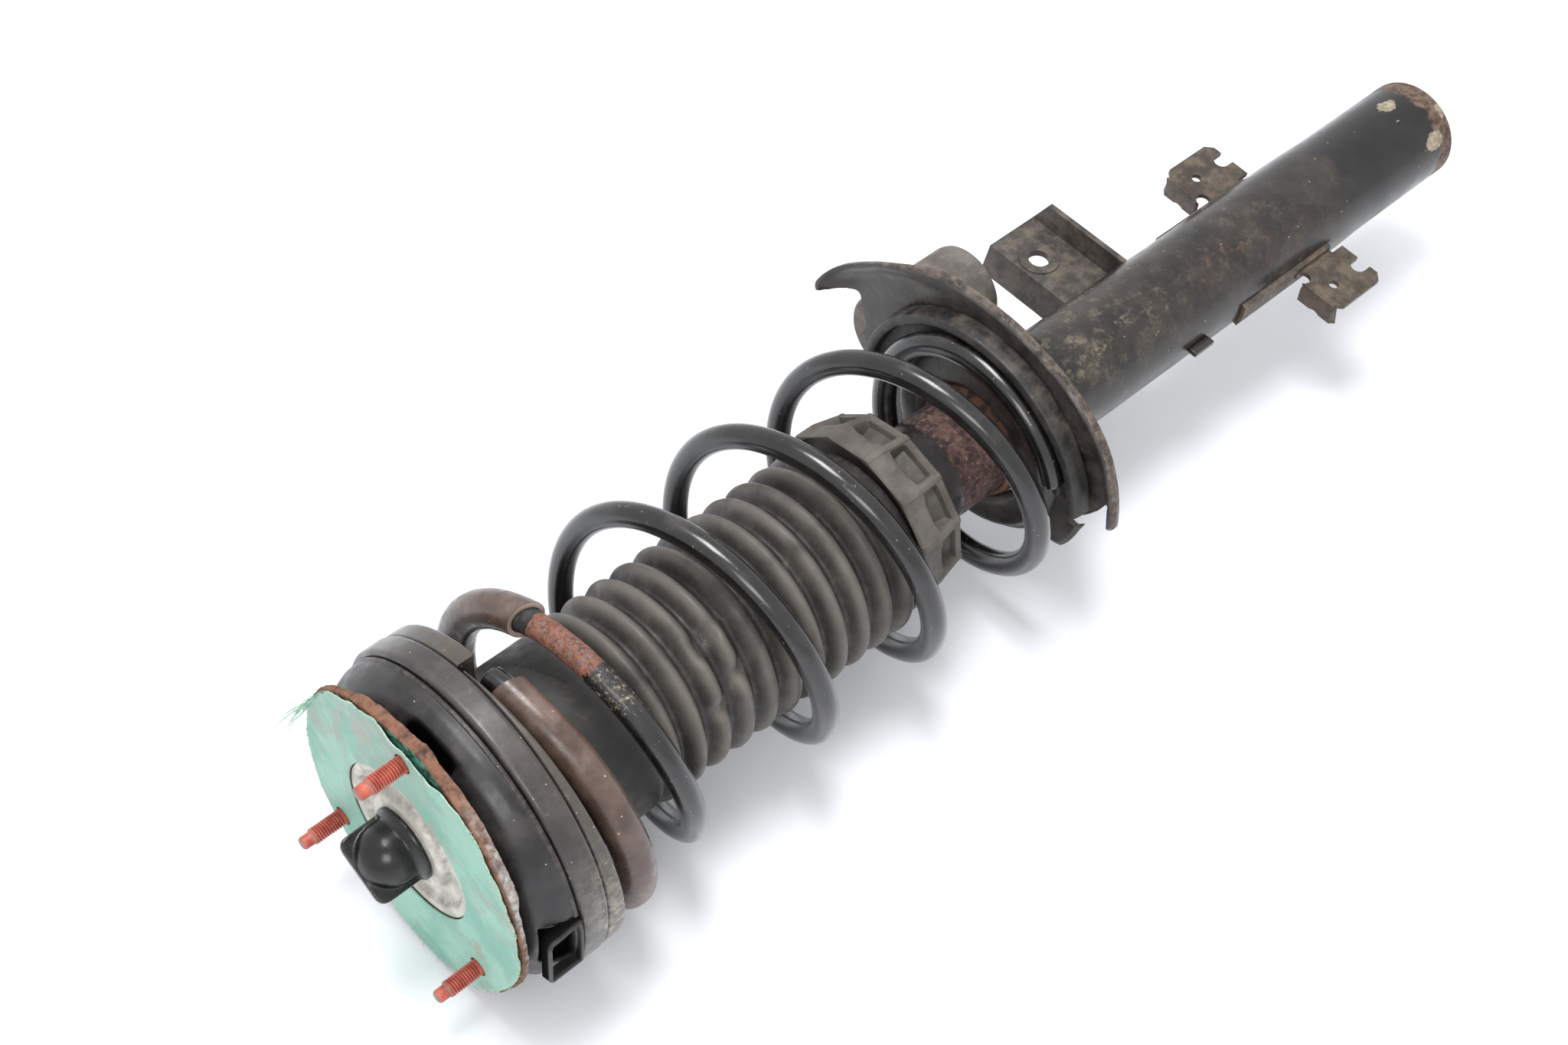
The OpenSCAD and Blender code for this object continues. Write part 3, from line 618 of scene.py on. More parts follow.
def mat_tube():
    m = Mat("painted_black_tube", 0.3, spec=0.4, coat=0.15, coat_rough=0.16)
    x = m.axis(0)
    c = m.mix((20, 5, 0.6, 0.36, 0.66), (31, 28, 27), (50, 45, 42))
    clean = m.map(m.ragged(x, 0.05, (22, 4, 0.6)), 0.592, 0.6)
    c = m.over(c, m.mix((18, 4, 0.55, 0.4, 0.62), (17, 16, 16), (28, 26, 25)), clean, 0.75)
    mud = m.mul("mud", (9, 6, 0.68, 0.46, 0.62), m.map((2.2, 5, 0.7), 0.38, 0.6))
    c = m.over(c, m.mix((6, 4, 0.55, 0.4, 0.6), (96, 86, 70), (132, 120, 98)), mud, 0.75)
    c = m.over(c, (80, 73, 66), "mud", (26, 5, 0.6, 0.46, 0.66), 0.4)
    rusty = m.mul("rusty", (7, 7, 0.72, 0.5, 0.64))
    c = m.over(c, m.mix((3, 5, 0.7, 0.4, 0.62), (74, 52, 42), (118, 86, 70)), rusty, 0.7)
    band = m.map(m.ragged(x, 0.02, (9, 6, 0.7)), 0.6655, 0.6685)
    c = m.over(c, m.mix((4, 6, 0.7, 0.38, 0.62), (70, 54, 44), (118, 98, 84)), band, 0.9)
    crust = m.map(m.ragged("crust", 1.4, (6, 6, 0.7)), 0.45, 0.6)
    cc = m.mix((4, 7, 0.72, 0.38, 0.62), (50, 36, 36), (100, 74, 68))
    cc = m.over(cc, (150, 134, 120), (2, 6, 0.75, 0.58, 0.68))
    c = m.mix(crust, c, cc)
    pale = m.map(m.ragged("pale", 1.5, (5, 6, 0.7)), 0.5, 0.58)
    c = m.mix(pale, c, m.mix((3, 5, 0.55, 0.4, 0.62), (126, 116, 98), (162, 150, 128)))
    c = m.over(c, (158, 146, 126), m.specks(8, 0.03, 0.07), 0.85)
    c = m.over(c, (14, 12, 12), (4, 4, 0.5, 0.73, 0.76), 0.8)
    rough = m.patchy((12, 5, 0.6), 0.2, 0.34)
    worn = m.most(mud, crust, rusty, band)
    rough = m.math("ADD", rough, m.mul(worn, 0.38))
    m.set("Coat Weight", m.map(worn, 0.0, 0.6, 0.15, 0.0))
    flakes = m.mul(crust, (2.5, 6, 0.75))
    m.bump(((1.0, 4, 0.6), 0.06, 0.2), ((14, 4), 0.08, 0.8), (flakes, 0.8, 1.0), (mud, 0.35, 0.5))
    return m.done(c, rough)


def mat_seat():
    m = Mat("worn_black_seat", 0.42, spec=0.48)
    c = m.mix((16, 6, 0.62, 0.36, 0.64), (36, 33, 31), (64, 58, 54))
    c = m.over(c, (112, 101, 95), m.up(0.0, 0.9), (14, 6, 0.65, 0.42, 0.66), 0.6)
    rim = m.map(m.ragged("rim", 1.7, (4, 6, 0.7)), 0.5, 0.68)
    c = m.over(c, m.mix((5, 5, 0.7, 0.38, 0.62), (58, 46, 39), (112, 100, 88)), rim, 0.75)
    c = m.over(c, (92, 66, 52), (4.5, 7, 0.72, 0.58, 0.7), 0.6)
    c = m.over(c, (20, 18, 17), (3.0, 4, 0.5, 0.68, 0.72), 0.9)
    m.bump(((1.2, 5, 0.7), 0.15, 0.35), ((9, 5, 0.6), 0.25, 1.0), (rim, 0.3, 0.4))
    return m.done(c, m.patchy((8, 6, 0.65), 0.26, 0.5))


def mat_hub():
    m = Mat("rusted_weld_hub", 0.72, spec=0.3)
    c = rust_color(m, 6)
    c = m.over(c, (56, 48, 46), (9, 5, 0.55, 0.45, 0.62))
    m.bump(((1.8, 6, 0.7), 0.5, 0.7))
    return m.done(c, 0.75)


def mat_pad():
    m = Mat("black_pad_rubber", 0.5, spec=0.45)
    c = m.mix((12, 5, 0.62, 0.36, 0.64), (26, 25, 25), (48, 45, 43))
    c = m.dusty(c, (96, 88, 80), 0.5, 10, 0.45, 0.7, (-0.1, 0.9))[0]
    m.bump(((1.2, 4, 0.65), 0.15, 0.3), ((6, 4), 0.2, 0.7))
    return m.done(c, m.patchy((6, 5), 0.38, 0.6))


def mat_can():
    m = Mat("grey_brown_damper_can", 0.55, spec=0.42)
    c = m.mix((13, 6, 0.62, 0.36, 0.64), (84, 79, 74), (112, 106, 99))
    c = m.over(c, (68, 62, 56), (4, 7, 0.7, 0.54, 0.7), 0.55)
    c = m.over(c, (96, 74, 58), (8, 5, 0.65, 0.62, 0.72), 0.8)
    m.bump(((1.0, 5, 0.7), 0.15, 0.3), ((10, 4), 0.12, 0.7))
    return m.done(c, m.patchy((7, 5), 0.45, 0.68))


def mat_bracket(name, lo, hi, warm):
    m = Mat(name, 0.5, spec=0.45)
    c = m.mix((9, 6, 0.65, 0.36, 0.64), lo, hi)
    c = m.over(c, warm, (9, 6, 0.66, 0.5, 0.7), 0.6)
    c = m.over(c, (168, 148, 118), "ring", (3.5, 6, 0.7, 0.3, 0.55))
    c = m.over(c, (122, 112, 98), m.up(0.2, 1.0), (9, 5, 0.65, 0.44, 0.7), 0.28)
    c = m.over(c, (64, 50, 40), (2.6, 7, 0.7, 0.56, 0.68), 0.6)
    m.bump(((1.2, 5, 0.7), 0.2, 0.35), ((7, 4), 0.15, 0.6))
    return m.done(c, m.patchy((5, 5), 0.36, 0.62))


def mat_metal(name, a, b, rough, metal=0.9):
    m = Mat(name, rough, metal=metal)
    c = m.mix((9, 5, 0.55, 0.36, 0.64), a, b)
    m.bump(((0.9, 3), 0.06, 0.2))
    return m.done(c, m.patchy((5, 4), rough * 0.8, rough * 1.25))


def mat_plain(name, a, b, rough, size=8):
    m = Mat(name, rough)
    c = m.mix((size, 5, 0.55, 0.36, 0.64), a, b)
    m.bump(((size * 0.2, 4, 0.6), 0.15, 0.4))
    return m.done(c, m.patchy((size * 0.7, 4), rough * 0.8, min(1.0, rough * 1.2)))


M = {
    "gasket": mat_gasket(), "fibre": mat_fibre(), "plate": mat_rust_plate(), "stud": mat_stud(),
    "cup": mat_cup(), "cap": mat_cap(), "housing": mat_housing(), "band": mat_band(),
    "spring": mat_spring(), "sleeve": mat_sleeve(), "boot": mat_boot(), "collar": mat_collar(),
    "tube": mat_tube(), "seat": mat_seat(), "hub": mat_hub(), "pad": mat_pad(), "can": mat_can(),
    "link": mat_bracket("dusty_link_bracket", (54, 50, 47), (82, 76, 71), (92, 78, 65)),
    "hose": mat_bracket("brown_hose_bracket", (58, 50, 43), (84, 73, 62), (96, 74, 56)),
    "steel": mat_metal("machined_steel", (140, 140, 140), (176, 176, 174), 0.35),
    "chrome": mat_metal("hard_chrome", (196, 197, 200), (214, 215, 218), 0.12),
    "sintered": mat_metal("sintered_steel", (108, 107, 105), (138, 136, 132), 0.55, 0.7),
    "foam": mat_plain("bump_stop_foam", (176, 164, 104), (200, 188, 130), 0.85, 3),
    "ptfe": mat_plain("piston_band", (66, 56, 46), (84, 72, 60), 0.4),
    "rubber": mat_plain("black_rubber", (26, 25, 25), (42, 40, 39), 0.6),
}


# ---- shapes used by the mount
def plate_r(a, grow=0.0):
    """Outline of the mounting plate about the mount's own centre."""
    oval = 3.8 * np.cos(np.radians(2 * (np.asarray(a, float) - 82)))
    lobes = 2.8 * bell(a, 115, 20) + 1.5 * bell(a, 50, 15) - 3 * bell(a, -150, 20)
    return PLATE_R + grow + oval + lobes + 1.7 * bell(a, -28, 14)


def bore_out(A, others, holes):
    """Cells inside the holes are dropped and the points beside each hole are moved onto its circle."""
    keep = np.ones((A.shape[0], A.shape[1] - 1), bool)
    for (cx, cy, r) in holes:
        d = np.hypot(A[..., 0] - cx, A[..., 1] - cy)
        near = np.abs(d - r) < 0.62
        for G in [A] + others:
            v = G[..., :2] - [cx, cy]
            on_circle = [cx, cy] + v / np.maximum(d, 1e-6)[..., None] * r
            G[..., :2] = np.where(near[..., None], on_circle, G[..., :2])
        d = np.where(near, r, d)
        D = np.stack([d[:, :-1], d[:, 1:], np.roll(d, -1, 0)[:, :-1], np.roll(d, -1, 0)[:, 1:]])
        keep &= ~(D <= r + 1e-6).all(0)
    return keep


def hairs(name, lines, body, mat):
    """Fine tapered fibres along short polylines, in natural millimetres."""
    V, F = [], []
    for pts, r0 in lines:
        pts = np.asarray(pts, float)
        base, n = len(V), len(pts)
        for i, p in enumerate(pts):
            t = pts[min(i + 1, n - 1)] - pts[max(i - 1, 0)]
            t = t / np.linalg.norm(t)
            u = np.cross(t, [0.3, 0.2, 0.93])
            u /= np.linalg.norm(u)
            w = np.cross(t, u)
            r = r0 * (1 - 0.8 * i / (n - 1))
            for q in np.arange(5) * 2 * math.pi / 5:
                V.append(p + r * (u * math.cos(q) + w * math.sin(q)))
        for i in range(n - 1):
            for k in range(5):
                a, b = base + i * 5 + k, base + i * 5 + (k + 1) % 5
                F.append([a, b, b + 5, a + 5])
        F.append([base + k for k in range(4, -1, -1)])
        F.append([base + (n - 1) * 5 + k for k in range(5)])
    me = raw_mesh(name, np.array(V), F)
    finish_mesh(me)
    add_object(name, me, body, mat)


# ---- gasket
GASKET_THICK, STUD_HOLE_R = 0.55, 4.7
NA, NR = 900, 40
ang = np.arange(NA) * 360.0 / NA
ca = wrap180(ang)
torn_edge = window(ca, 78, 84, 101, 107)
circle = around(74.0, np.radians(ang), 0 * ang)
rag = (0.1 + 0.3 * window(ca, 20, 40, 160, 178)) * fbm(circle, 5, 4, 3)
T = np.linspace(0, 1, NR)[None, :] ** 0.9
inner_edge = np.concatenate([polar(38.5, ang), 0 * ang[:, None]], -1)
outer_r = plate_r(ang, -1.2) + rag - 1.0 * torn_edge
outer_edge = np.concatenate([polar(1.0, ang) * outer_r[:, None], 0 * ang[:, None]], -1) + ECC
G = inner_edge[:, None] * (1 - T[..., None]) + outer_edge[:, None] * T[..., None]
wave = 0.16 * fbm(G, 26, 2, 7) + 0.05 * fbm(G, 5, 2, 8)
lift = smooth01(T, 0.9, 1.0) * (0.25 + 0.55 * fbm(G, 9, 3, 9)) * (0.25 + smooth01(ca, 10, 40))[:, None]
lift = lift + 1.3 * torn_edge[:, None] * smooth01(T, 0.8, 1.0)
G[..., 2] = -np.clip(0.25 + wave + lift, 0.02, 3.0)
GB = G.copy()
GB[..., 2] += GASKET_THICK
keep = bore_out(G, [GB], [(*polar(STUD_CIRCLE, a), STUD_HOLE_R) for a in STUDS])
marks = {"edge": smooth01(T, 0.95, 1.0) + 0 * ang[:, None],
         "smear": bell(ang, 60, 42)[:, None] * gauss(T, 0.55, 0.5)}
sheet("gasket_sheet", G, GB, TOP, M["gasket"], keep, attrs=marks, replaces=("mount_gasket",))

lines = []
for i in range(240):
    a = RNG.uniform(-30, 175) if i % 3 else RNG.uniform(-180, 180)
    k = int(round((a % 360) / 360 * NA)) % NA
    p = G[k, -1].copy()
    d = np.array([*polar(1.0, a + RNG.normal(0, 45)), RNG.uniform(-0.9, 0.5)])
    length = RNG.uniform(0.6, 2.0) + (RNG.uniform(0, 1.6) if 86 < a < 130 else 0)
    side = np.array([*polar(1.0, a + 90), 0.0]) * RNG.normal(0, 0.5)
    pts = [p - d * 0.4, p + d * length * 0.5 + side * 0.3, p + d * length + side]
    lines.append((pts, RNG.uniform(0.08, 0.16)))
# frayed strands that hang from the gasket's upper corner
CORNER, LONG = int(46 / 360 * NA), 9
hang = np.array([0.11, -0.62, -0.78])
sway = np.array([0.9, 0.3, 0]) * 1.2
for i in range(26):
    p = G[(CORNER - int(RNG.uniform(0, 60))) % NA, -1].copy()
    length = RNG.uniform(15, 23) if i < LONG else RNG.uniform(4, 10)
    d = hang + RNG.normal(0, 0.16, 3)
    pts = [p - d * 0.5]
    for t in (0.2, 0.4, 0.6, 0.8, 1.0):
        pts.append(p + d * length * t + RNG.normal(0, 0.25, 3) + sway * math.sin(t * 3))
    lines.append((pts, 0.42 if i < LONG else 0.2))
hairs("gasket_fibres", lines, TOP, M["fibre"])

# ---- mounting plate, with a turned and ragged rim
OUTER = 74.0
prof = fillet([(WINDOW_R, 0.8), (OUTER, 0.8), (OUTER, 3.8), (WINDOW_R, 3.8)], [0.3, 0.8, 0.8, 0.3], 4,
              closed=True)
prof = resample(prof, 1.0)
px = prof[None, :, 1]
NA = 720
aa = np.arange(NA) * 360.0 / NA
w = np.clip((prof[None, :, 0] - WINDOW_R) / (OUTER - WINDOW_R), 0, 1) + 0 * aa[:, None]
rim_r = plate_r(aa) + 3.6 * bell(aa, 94.5, 4.5)
pi, po = polar(WINDOW_R, aa), polar(1.0, aa) * rim_r[:, None] + ECC[:2]
flat = pi[:, None] * (1 - w[..., None]) + po[:, None] * w[..., None]
P = np.concatenate([flat, (px + 0 * w)[..., None]], -1)
rim = smooth01(w, 0.86, 1.0)
bites = 0.3 * fbm(P, 3.0, 3, 21) + 0.35 * fbm(P * [1, 1, 0.4], 9, 3, 22)
P[..., :2] += polar(1.0, aa)[:, None] * (bites * rim)[..., None]
turned = window(wrap180(aa), 52, 72, 143, 158)[:, None]
P[..., 2] += 2.5 * turned * smooth01(w, 0.84, 0.95) * (px > 2.3)
lump = bell(aa, 97, 8)[:, None] * rim
P[..., 2] += (0.35 * fbm(P, 4, 3, 23) + 0.6 * lump * fbm(P, 3, 2, 24)) * rim * np.where(px > 2.3, 1, 0.35)
torn = window(aa, 76, 82, 103, 109)[:, None] * (px < 1.2) * (1 - smooth01(w, 0.965, 0.99))
bare = bell(aa, 158, 26) + 0.5 * bell(aa, 130, 14) + bell(aa, -40, 40)
bare = bare[:, None] * smooth01(w, 0.9, 1.0) * smooth01(px, 1.0, 2.4)
grid("rusty_plate_body", P, TOP, M["plate"], wrap_u=True, wrap_v=True, attrs={"torn": torn, "bare": bare},
     replaces=("mount_plate",))

# ---- studs with a rolled thread
THREAD_R, THREAD_DEPTH, PITCH = 3.97, 0.74, 1.25
for i, a in enumerate(STUDS):
    xs = np.concatenate([np.arange(-22, -16.6, 0.3), np.arange(-16.6, -0.8, 0.13), np.arange(-0.8, 3.9, 0.9)])
    X, TH = np.meshgrid(xs, np.arange(40) * 9.0, indexing="ij")
    ridge = np.abs((X / PITCH - TH / 360.0) % 1.0 * 2 - 1)
    amount = window(X, -16.4, -15.2, -1.6, -0.8)
    r = THREAD_R - THREAD_DEPTH * smooth01(ridge, 0.15, 0.95) * amount
    pilot = np.interp(X, [-22, -21.6, -21.0, -16.9, -16.0], [2.3, 2.75, 3.05, 3.1, 3.95])
    uneven = 0.03 * vnoise(around(r, np.radians(TH), X), 1.5, 40 + i)
    r = np.minimum(r, pilot) + uneven
    P = around(r, np.radians(TH), X) + [*polar(STUD_CIRCLE, a), 0]
    tip = 1 - smooth01(X, -21.9, -21.3) + 0.55 * gauss(X, -16.4, 0.9)
    # root_shade marks the thread grooves, where shade is painted into the colour
    grid("stud_shank_%d" % (i + 1), P, TOP, M["stud"], wrap_v=True, cap_u=True,
         attrs={"root_shade": smooth01(ridge, 0.45, 1.0) * amount, "tip": tip}, replaces=("mount_studs",), angle=60)

# ---- cup
cup = fillet([(6.1, -0.5), (22, -0.5), (24.5, 4.4), (31.5, 4.4), (34.5, 0.6), (38.3, 0.6), (38.3, 3.9),
              (52, 3.9), (52, 5.4), (36.8, 5.4), (36.8, 2.1), (35.3, 2.1), (32.3, 5.9), (23.6, 5.9),
              (21.1, 1), (6.1, 1)],
             [0.2, 1.6, 1.8, 1.8, 1.4, 0.5, 0.3, 0.3, 0.3, 0.3, 0.5, 0.8, 1.2, 1.2, 1.2, 0.2], 5,
             closed=True)
# groove marks the groove's slopes and the land's edge, which get painted shade
lathe("pressed_cup", resample(cup, 1.2), TOP, M["cup"], 240, disp=lambda t, r, x, P: 0.05 * fbm(P, 6, 2, 50),
      attrs={"groove": lambda t, r, x, P: np.clip(
          gauss(r, 33.2, 1.0) + 0.9 * gauss(r, 24.0, 1.3) + gauss(r, 38.3, 0.5), 0, 1)},
      replaces=("mount_cup",))


# ---- rubber dust cap
def rings(rows, base):
    """Faces of a closed stack of point rings whose first point has the number base."""
    n, m = len(rows), len(rows[0])
    F = []
    for i in range(n - 1):
        for k in range(m):
            a, b = base + i * m + k, base + i * m + (k + 1) % m
            F.append([a, b, b + m, a + m])
    return F + [[base + k for k in range(m - 1, -1, -1)], [base + (n - 1) * m + k for k in range(m)]]


def cap_piece():
    """A domed cap and its flat grip fin, melted into one skin."""
    dome_r, dome_x, fin_half, fin_turn = 14.2, -9.5, 1.8, 23.7
    dome = [(dome_r * math.cos(t), dome_x - dome_r * math.sin(t)) for t in np.radians(np.arange(80, -1, -4))]
    foot = [(dome_r, -4.8), (15.4, -4.2), (17.4, -2.6), (17.8, -0.6), (0.0, -0.6)]
    q = np.arange(96) * 2 * math.pi / 96
    turned = [around(max(r, 0.01) + 0 * q, q, x) for r, x in [(0.0, dome_x - dome_r)] + dome + foot]
    o = fillet([(-16, -1.2), (16, -1.2), (16, -24.4), (-16, -24.4)], [1.0, 1.0, 5.2, 5.2], 8, closed=True)
    side = np.array([*polar(1.0, fin_turn + 90), 0.0])
    fin = [around(o[:, 0], math.radians(fin_turn), o[:, 1]) + s * side for s in (-fin_half, fin_half)]
    V = np.concatenate(turned + fin)
    me = raw_mesh("cap_raw", V, rings(turned, 0) + rings(fin, len(turned) * len(q)))
    finish_mesh(me)
    tmp = bpy.data.objects.new("cap_raw", me)
    scene.collection.objects.link(tmp)
    rm = tmp.modifiers.new("remesh", "REMESH")
    rm.mode, rm.voxel_size = "VOXEL", 0.00045
    sm = tmp.modifiers.new("smooth", "SMOOTH")
    sm.factor, sm.iterations = 0.5, 14
    bpy.context.view_layer.update()
    out = bpy.data.meshes.new_from_object(tmp.evaluated_get(bpy.context.evaluated_depsgraph_get()))
    bpy.data.objects.remove(tmp)
    out.name = "rubber_cap"
    for f in out.polygons:
        f.use_smooth = True
    add_object("rubber_cap", out, TOP, M["cap"], ("dust_cap",))


cap_piece()

# ---- housing with its open pocket
hp = fillet([(62, 6.6), (65, 7.2), (69, 10), (73, 14.5), (75.3, 20.5), (75.4, 24.0), (76.0, 24.5),
             (76.0, 26.4), (44, 26.5), (44, 39.5), (41.6, 39.5), (41.6, 24), (72.4, 24), (73.4, 21.5),
             (71, 16), (67.6, 12), (64, 9.6), (61.4, 8.8)],
            [0.8, 1.5, 1.5, 2, 2, 0.2, 0.3, 0.5, 0.4, 0.5, 0.5, 0.3, 1, 1, 1, 1, 1, 0.5], 4, closed=True)


def hollow(t, r, x, P):
    """Radial move that sinks the box at the top and the pocket at the lower side."""
    box = smooth01(wrap180(t - 76.5), 0, 6) * (1 - smooth01(wrap180(t - 97), 0, 6))
    box = box * window(x, 3.0, 5.5, 10.0, 15.0)
    pocket = smooth01(wrap180(t - 165.5), 0, 2) * (1 - smooth01(wrap180(t - 187), 0, 2))
    pocket = pocket * window(x, 10.2, 11.6, 23.2, 23.9)
    outer = smooth01(r, 64, 66) * (x < 23.9)
    return -(10.0 * box + 4.0 * pocket) * outer + 0.08 * fbm(P, 14, 2, 60)


# recess_shade follows how far the surface is sunk, and paints shade into the box and the pocket
lathe("housing_shell", resample(hp, 0.8), TOP, M["housing"], 540, shift=ECC, disp=hollow,
      attrs={"rim": lambda t, r, x, P: gauss(x, 25.0, 1.1) * smooth01(r, 75, 75.8),
             "recess_shade": lambda t, r, x, P: np.clip(-hollow(t, r, x, P) / 1.4, 0, 1)},
      replaces=("upper_housing",))


def pocket_piece():
    """Wall round the pocket's mouth, with a rounded lip at the top that runs into the housing."""
    x0, x1, v0, v1 = 8.6, 26.2, -15.5, 17.0
    loop = fillet([(x0, v0), (x1, v0), (x1, v1), (x0, v1)], [6.5, 0.6, 0.8, 2.5], 8, closed=True)
    loop = resample(loop, 1.2)
    n = len(loop)
    middle = np.array([(x0 + x1) / 2, (v0 + v1) / 2])
    q = math.radians(177)
    # inward offset and height of each point of the lip's section
    section = [(-0.6, -4.0), (-0.1, -1.0), (0.0, 0.3), (0.35, 0.75), (0.8, 0.95), (1.3, 0.75), (1.6, 0.2),
               (1.7, -1.0), (1.8, -4.5)]
    rows = []
    for off, h in section:
        row = []
        for i in range(n):
            p, d = loop[i], loop[(i + 1) % n] - loop[i - 1]
            inward = np.array([-d[1], d[0]]) / np.linalg.norm(d)
            if np.dot(inward, middle - p) < 0:
                inward = -inward
            x, v = p + inward * off
            t = (v - v0) / (v1 - v0)
            # height of the wall's edge above the strut's axis
            u = 76.4 + 1.2 * smooth01(t, 0.0, 0.35) - 0.2 * smooth01(t, 0.8, 1.0)
            u += 0.5 * gauss(x, x0 + 6, 4) * gauss(t, 0, 0.25) + h
            if t < 0.28:
                # the upper wall leans over the mouth
                v += (h + 4.0) / 5.0 * 2.6 * (1 - t / 0.28)
            row.append((u * math.cos(q) - v * math.sin(q), u * math.sin(q) + v * math.cos(q), x))
        rows.append(row)
    on_lip = np.abs(np.arange(len(section)) - 4) < 2
    # the inner rows of the lip get recess_shade: painted shade down into the pocket
    grid("pocket_wall", np.array(rows).transpose(1, 0, 2) + ECC, TOP, M["housing"], wrap_u=True, wrap_v=True,
         attrs={"rim": np.tile(on_lip * 0.55, (n, 1)),
                "recess_shade": np.tile([1, 0.8, 0, 0, 0, 0, 0, 0, 0.0], (n, 1))})


pocket_piece()

# ---- coil spring
# Along the wire: degrees, then the place along the strut, the sideways shift and the centre line's radius.
COIL_X = np.array([[0, 0], [140, 19.5], [322, 28.5], [400, 36], [443, 43], [493, 55], [543, 66], [632, 87],
                   [682, 98], [732, 107.5], [853, 131.5], [992, 157], [1042, 165], [1092, 174], [1163, 189],
                   [1213, 199], [1263, 208], [1352, 223], [1402, 231.5], [1452, 243], [1523, 261],
                   [1573, 269.5], [1640, 274], [1740, 276], [1800, 281], [1890, 281.5]], float)
COIL_SHIFT = np.array([[0, -4], [300, -3.8], [490, 0.9], [700, 1], [1400, 2.2], [1890, 1]], float)
COIL_R = np.array([[0, 66.6], [1490, 66.6], [1600, 61], [1640, 55], [1700, 45.5], [1740, 47], [1785, 56],
                   [1890, 57]], float)


def look(a, table):
    """Value of the table at angle a, smoothed over 60 degrees."""
    return sum(np.interp(a + d, table[:, 0], table[:, 1]) for d in (-30, -15, 0, 15, 30)) / 5


def coil_x(a):
    return COIL_START + look(a, COIL_X)


def coil_point(a, rr, q):
    """Point at angle a along the wire, at radius rr from its centre line and angle q round it."""
    P = around(look(a, COIL_R) + rr * np.cos(q), np.radians(COIL_PHASE + a), coil_x(a) + rr * np.sin(q))
    P[..., :2] -= look(a, COIL_SHIFT)[..., None] * polar(1.0, OFFSET_ANGLE)
    return P


def spring_piece():
    """The wire from inside its sleeve to its end, with rounded ends and relief where it rusts."""
    a = np.concatenate([[13.0, 13.15, 13.5], np.arange(14.2, 1888.5, 1.5), [1889.3, 1889.8, COIL_END]])
    radius = np.full(len(a), WIRE_R)
    radius[:3], radius[-3:] = (4.6, 5.4, 5.85), (5.85, 5.4, 4.6)
    sides = 28
    A, Q = np.meshgrid(a, np.arange(sides) * 2 * np.pi / sides, indexing="ij")
    R = radius[:, None] + 0 * Q
    P = coil_point(A, R, Q)
    rusty = window(A, 366, 369, 391, 400)
    flaky = window(A, 391, 399, 410, 440) * 0.8
    dark = window(A, 355, 360, 365, 369)
    worn = np.clip(rusty + flaky, 0, 1)
    R = R - 0.25 * rusty + worn * 0.16 * fbm(P, 3.0, 4, 70) + 0.05 * fbm(P, 12, 2, 71)
    spring = grid("coil_wire", coil_point(A, R, Q), TOP, M["spring"], wrap_v=True, cap_u=True,
                  attrs={"rusty": rusty, "flaky": flaky, "dark": dark},
                  replaces=("coil_spring",), angle=60)
    # the stroke is 0.138 m and the spring is 0.283 m long
    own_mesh(spring)


spring_piece()


def sleeve_piece():
    """Rubber hose on the first turn, cut slightly askew at both ends."""
    sides, bore_r = 32, 6.3
    q = np.arange(sides) * 2 * np.pi / sides
    a0, a1 = 21.0 + 1.2 * np.sin(q + 0.6), 361.5 + 1.8 * np.cos(q - 0.9)
    A = a0[None, :] + (a1 - a0)[None, :] * np.linspace(0, 1, 300)[:, None]
    Q = q[None, :] + 0 * A
    lip = 0.15 * gauss(A, a0[None, :], 1.5)
    R = SLEEVE_R + 0.07 * fbm(coil_point(A, 8.6 + lip, Q), 14, 2, 80) + lip
    first, last = A[:1] - 0.12, A[-1:] + 0.12
    ring = lambda a, r: coil_point(a, r + 0 * a, Q[:1])
    P = np.concatenate([coil_point(A, R, Q), ring(last, 8.25), ring(last, 6.5),
                        coil_point(A, bore_r + 0 * A, Q)[::-1], ring(first, 6.5), ring(first, 8.25)])
    under = smooth01(-np.cos(Q), 0.3, 0.9)
    marks = {"under": np.concatenate([under, under[-1:], under[-1:], under[::-1], under[:1], under[:1]]),
             "cut": np.concatenate([0 * A, 0.9 + 0 * A[:2], 0.3 + 0 * A, 0.9 + 0 * A[:2]])}
    ob = grid("rubber_sleeve", P, TOP, M["sleeve"], wrap_u=True, wrap_v=True, attrs=marks,
              replaces=("wire_sleeve",), angle=50)
    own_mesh(ob)


sleeve_piece()


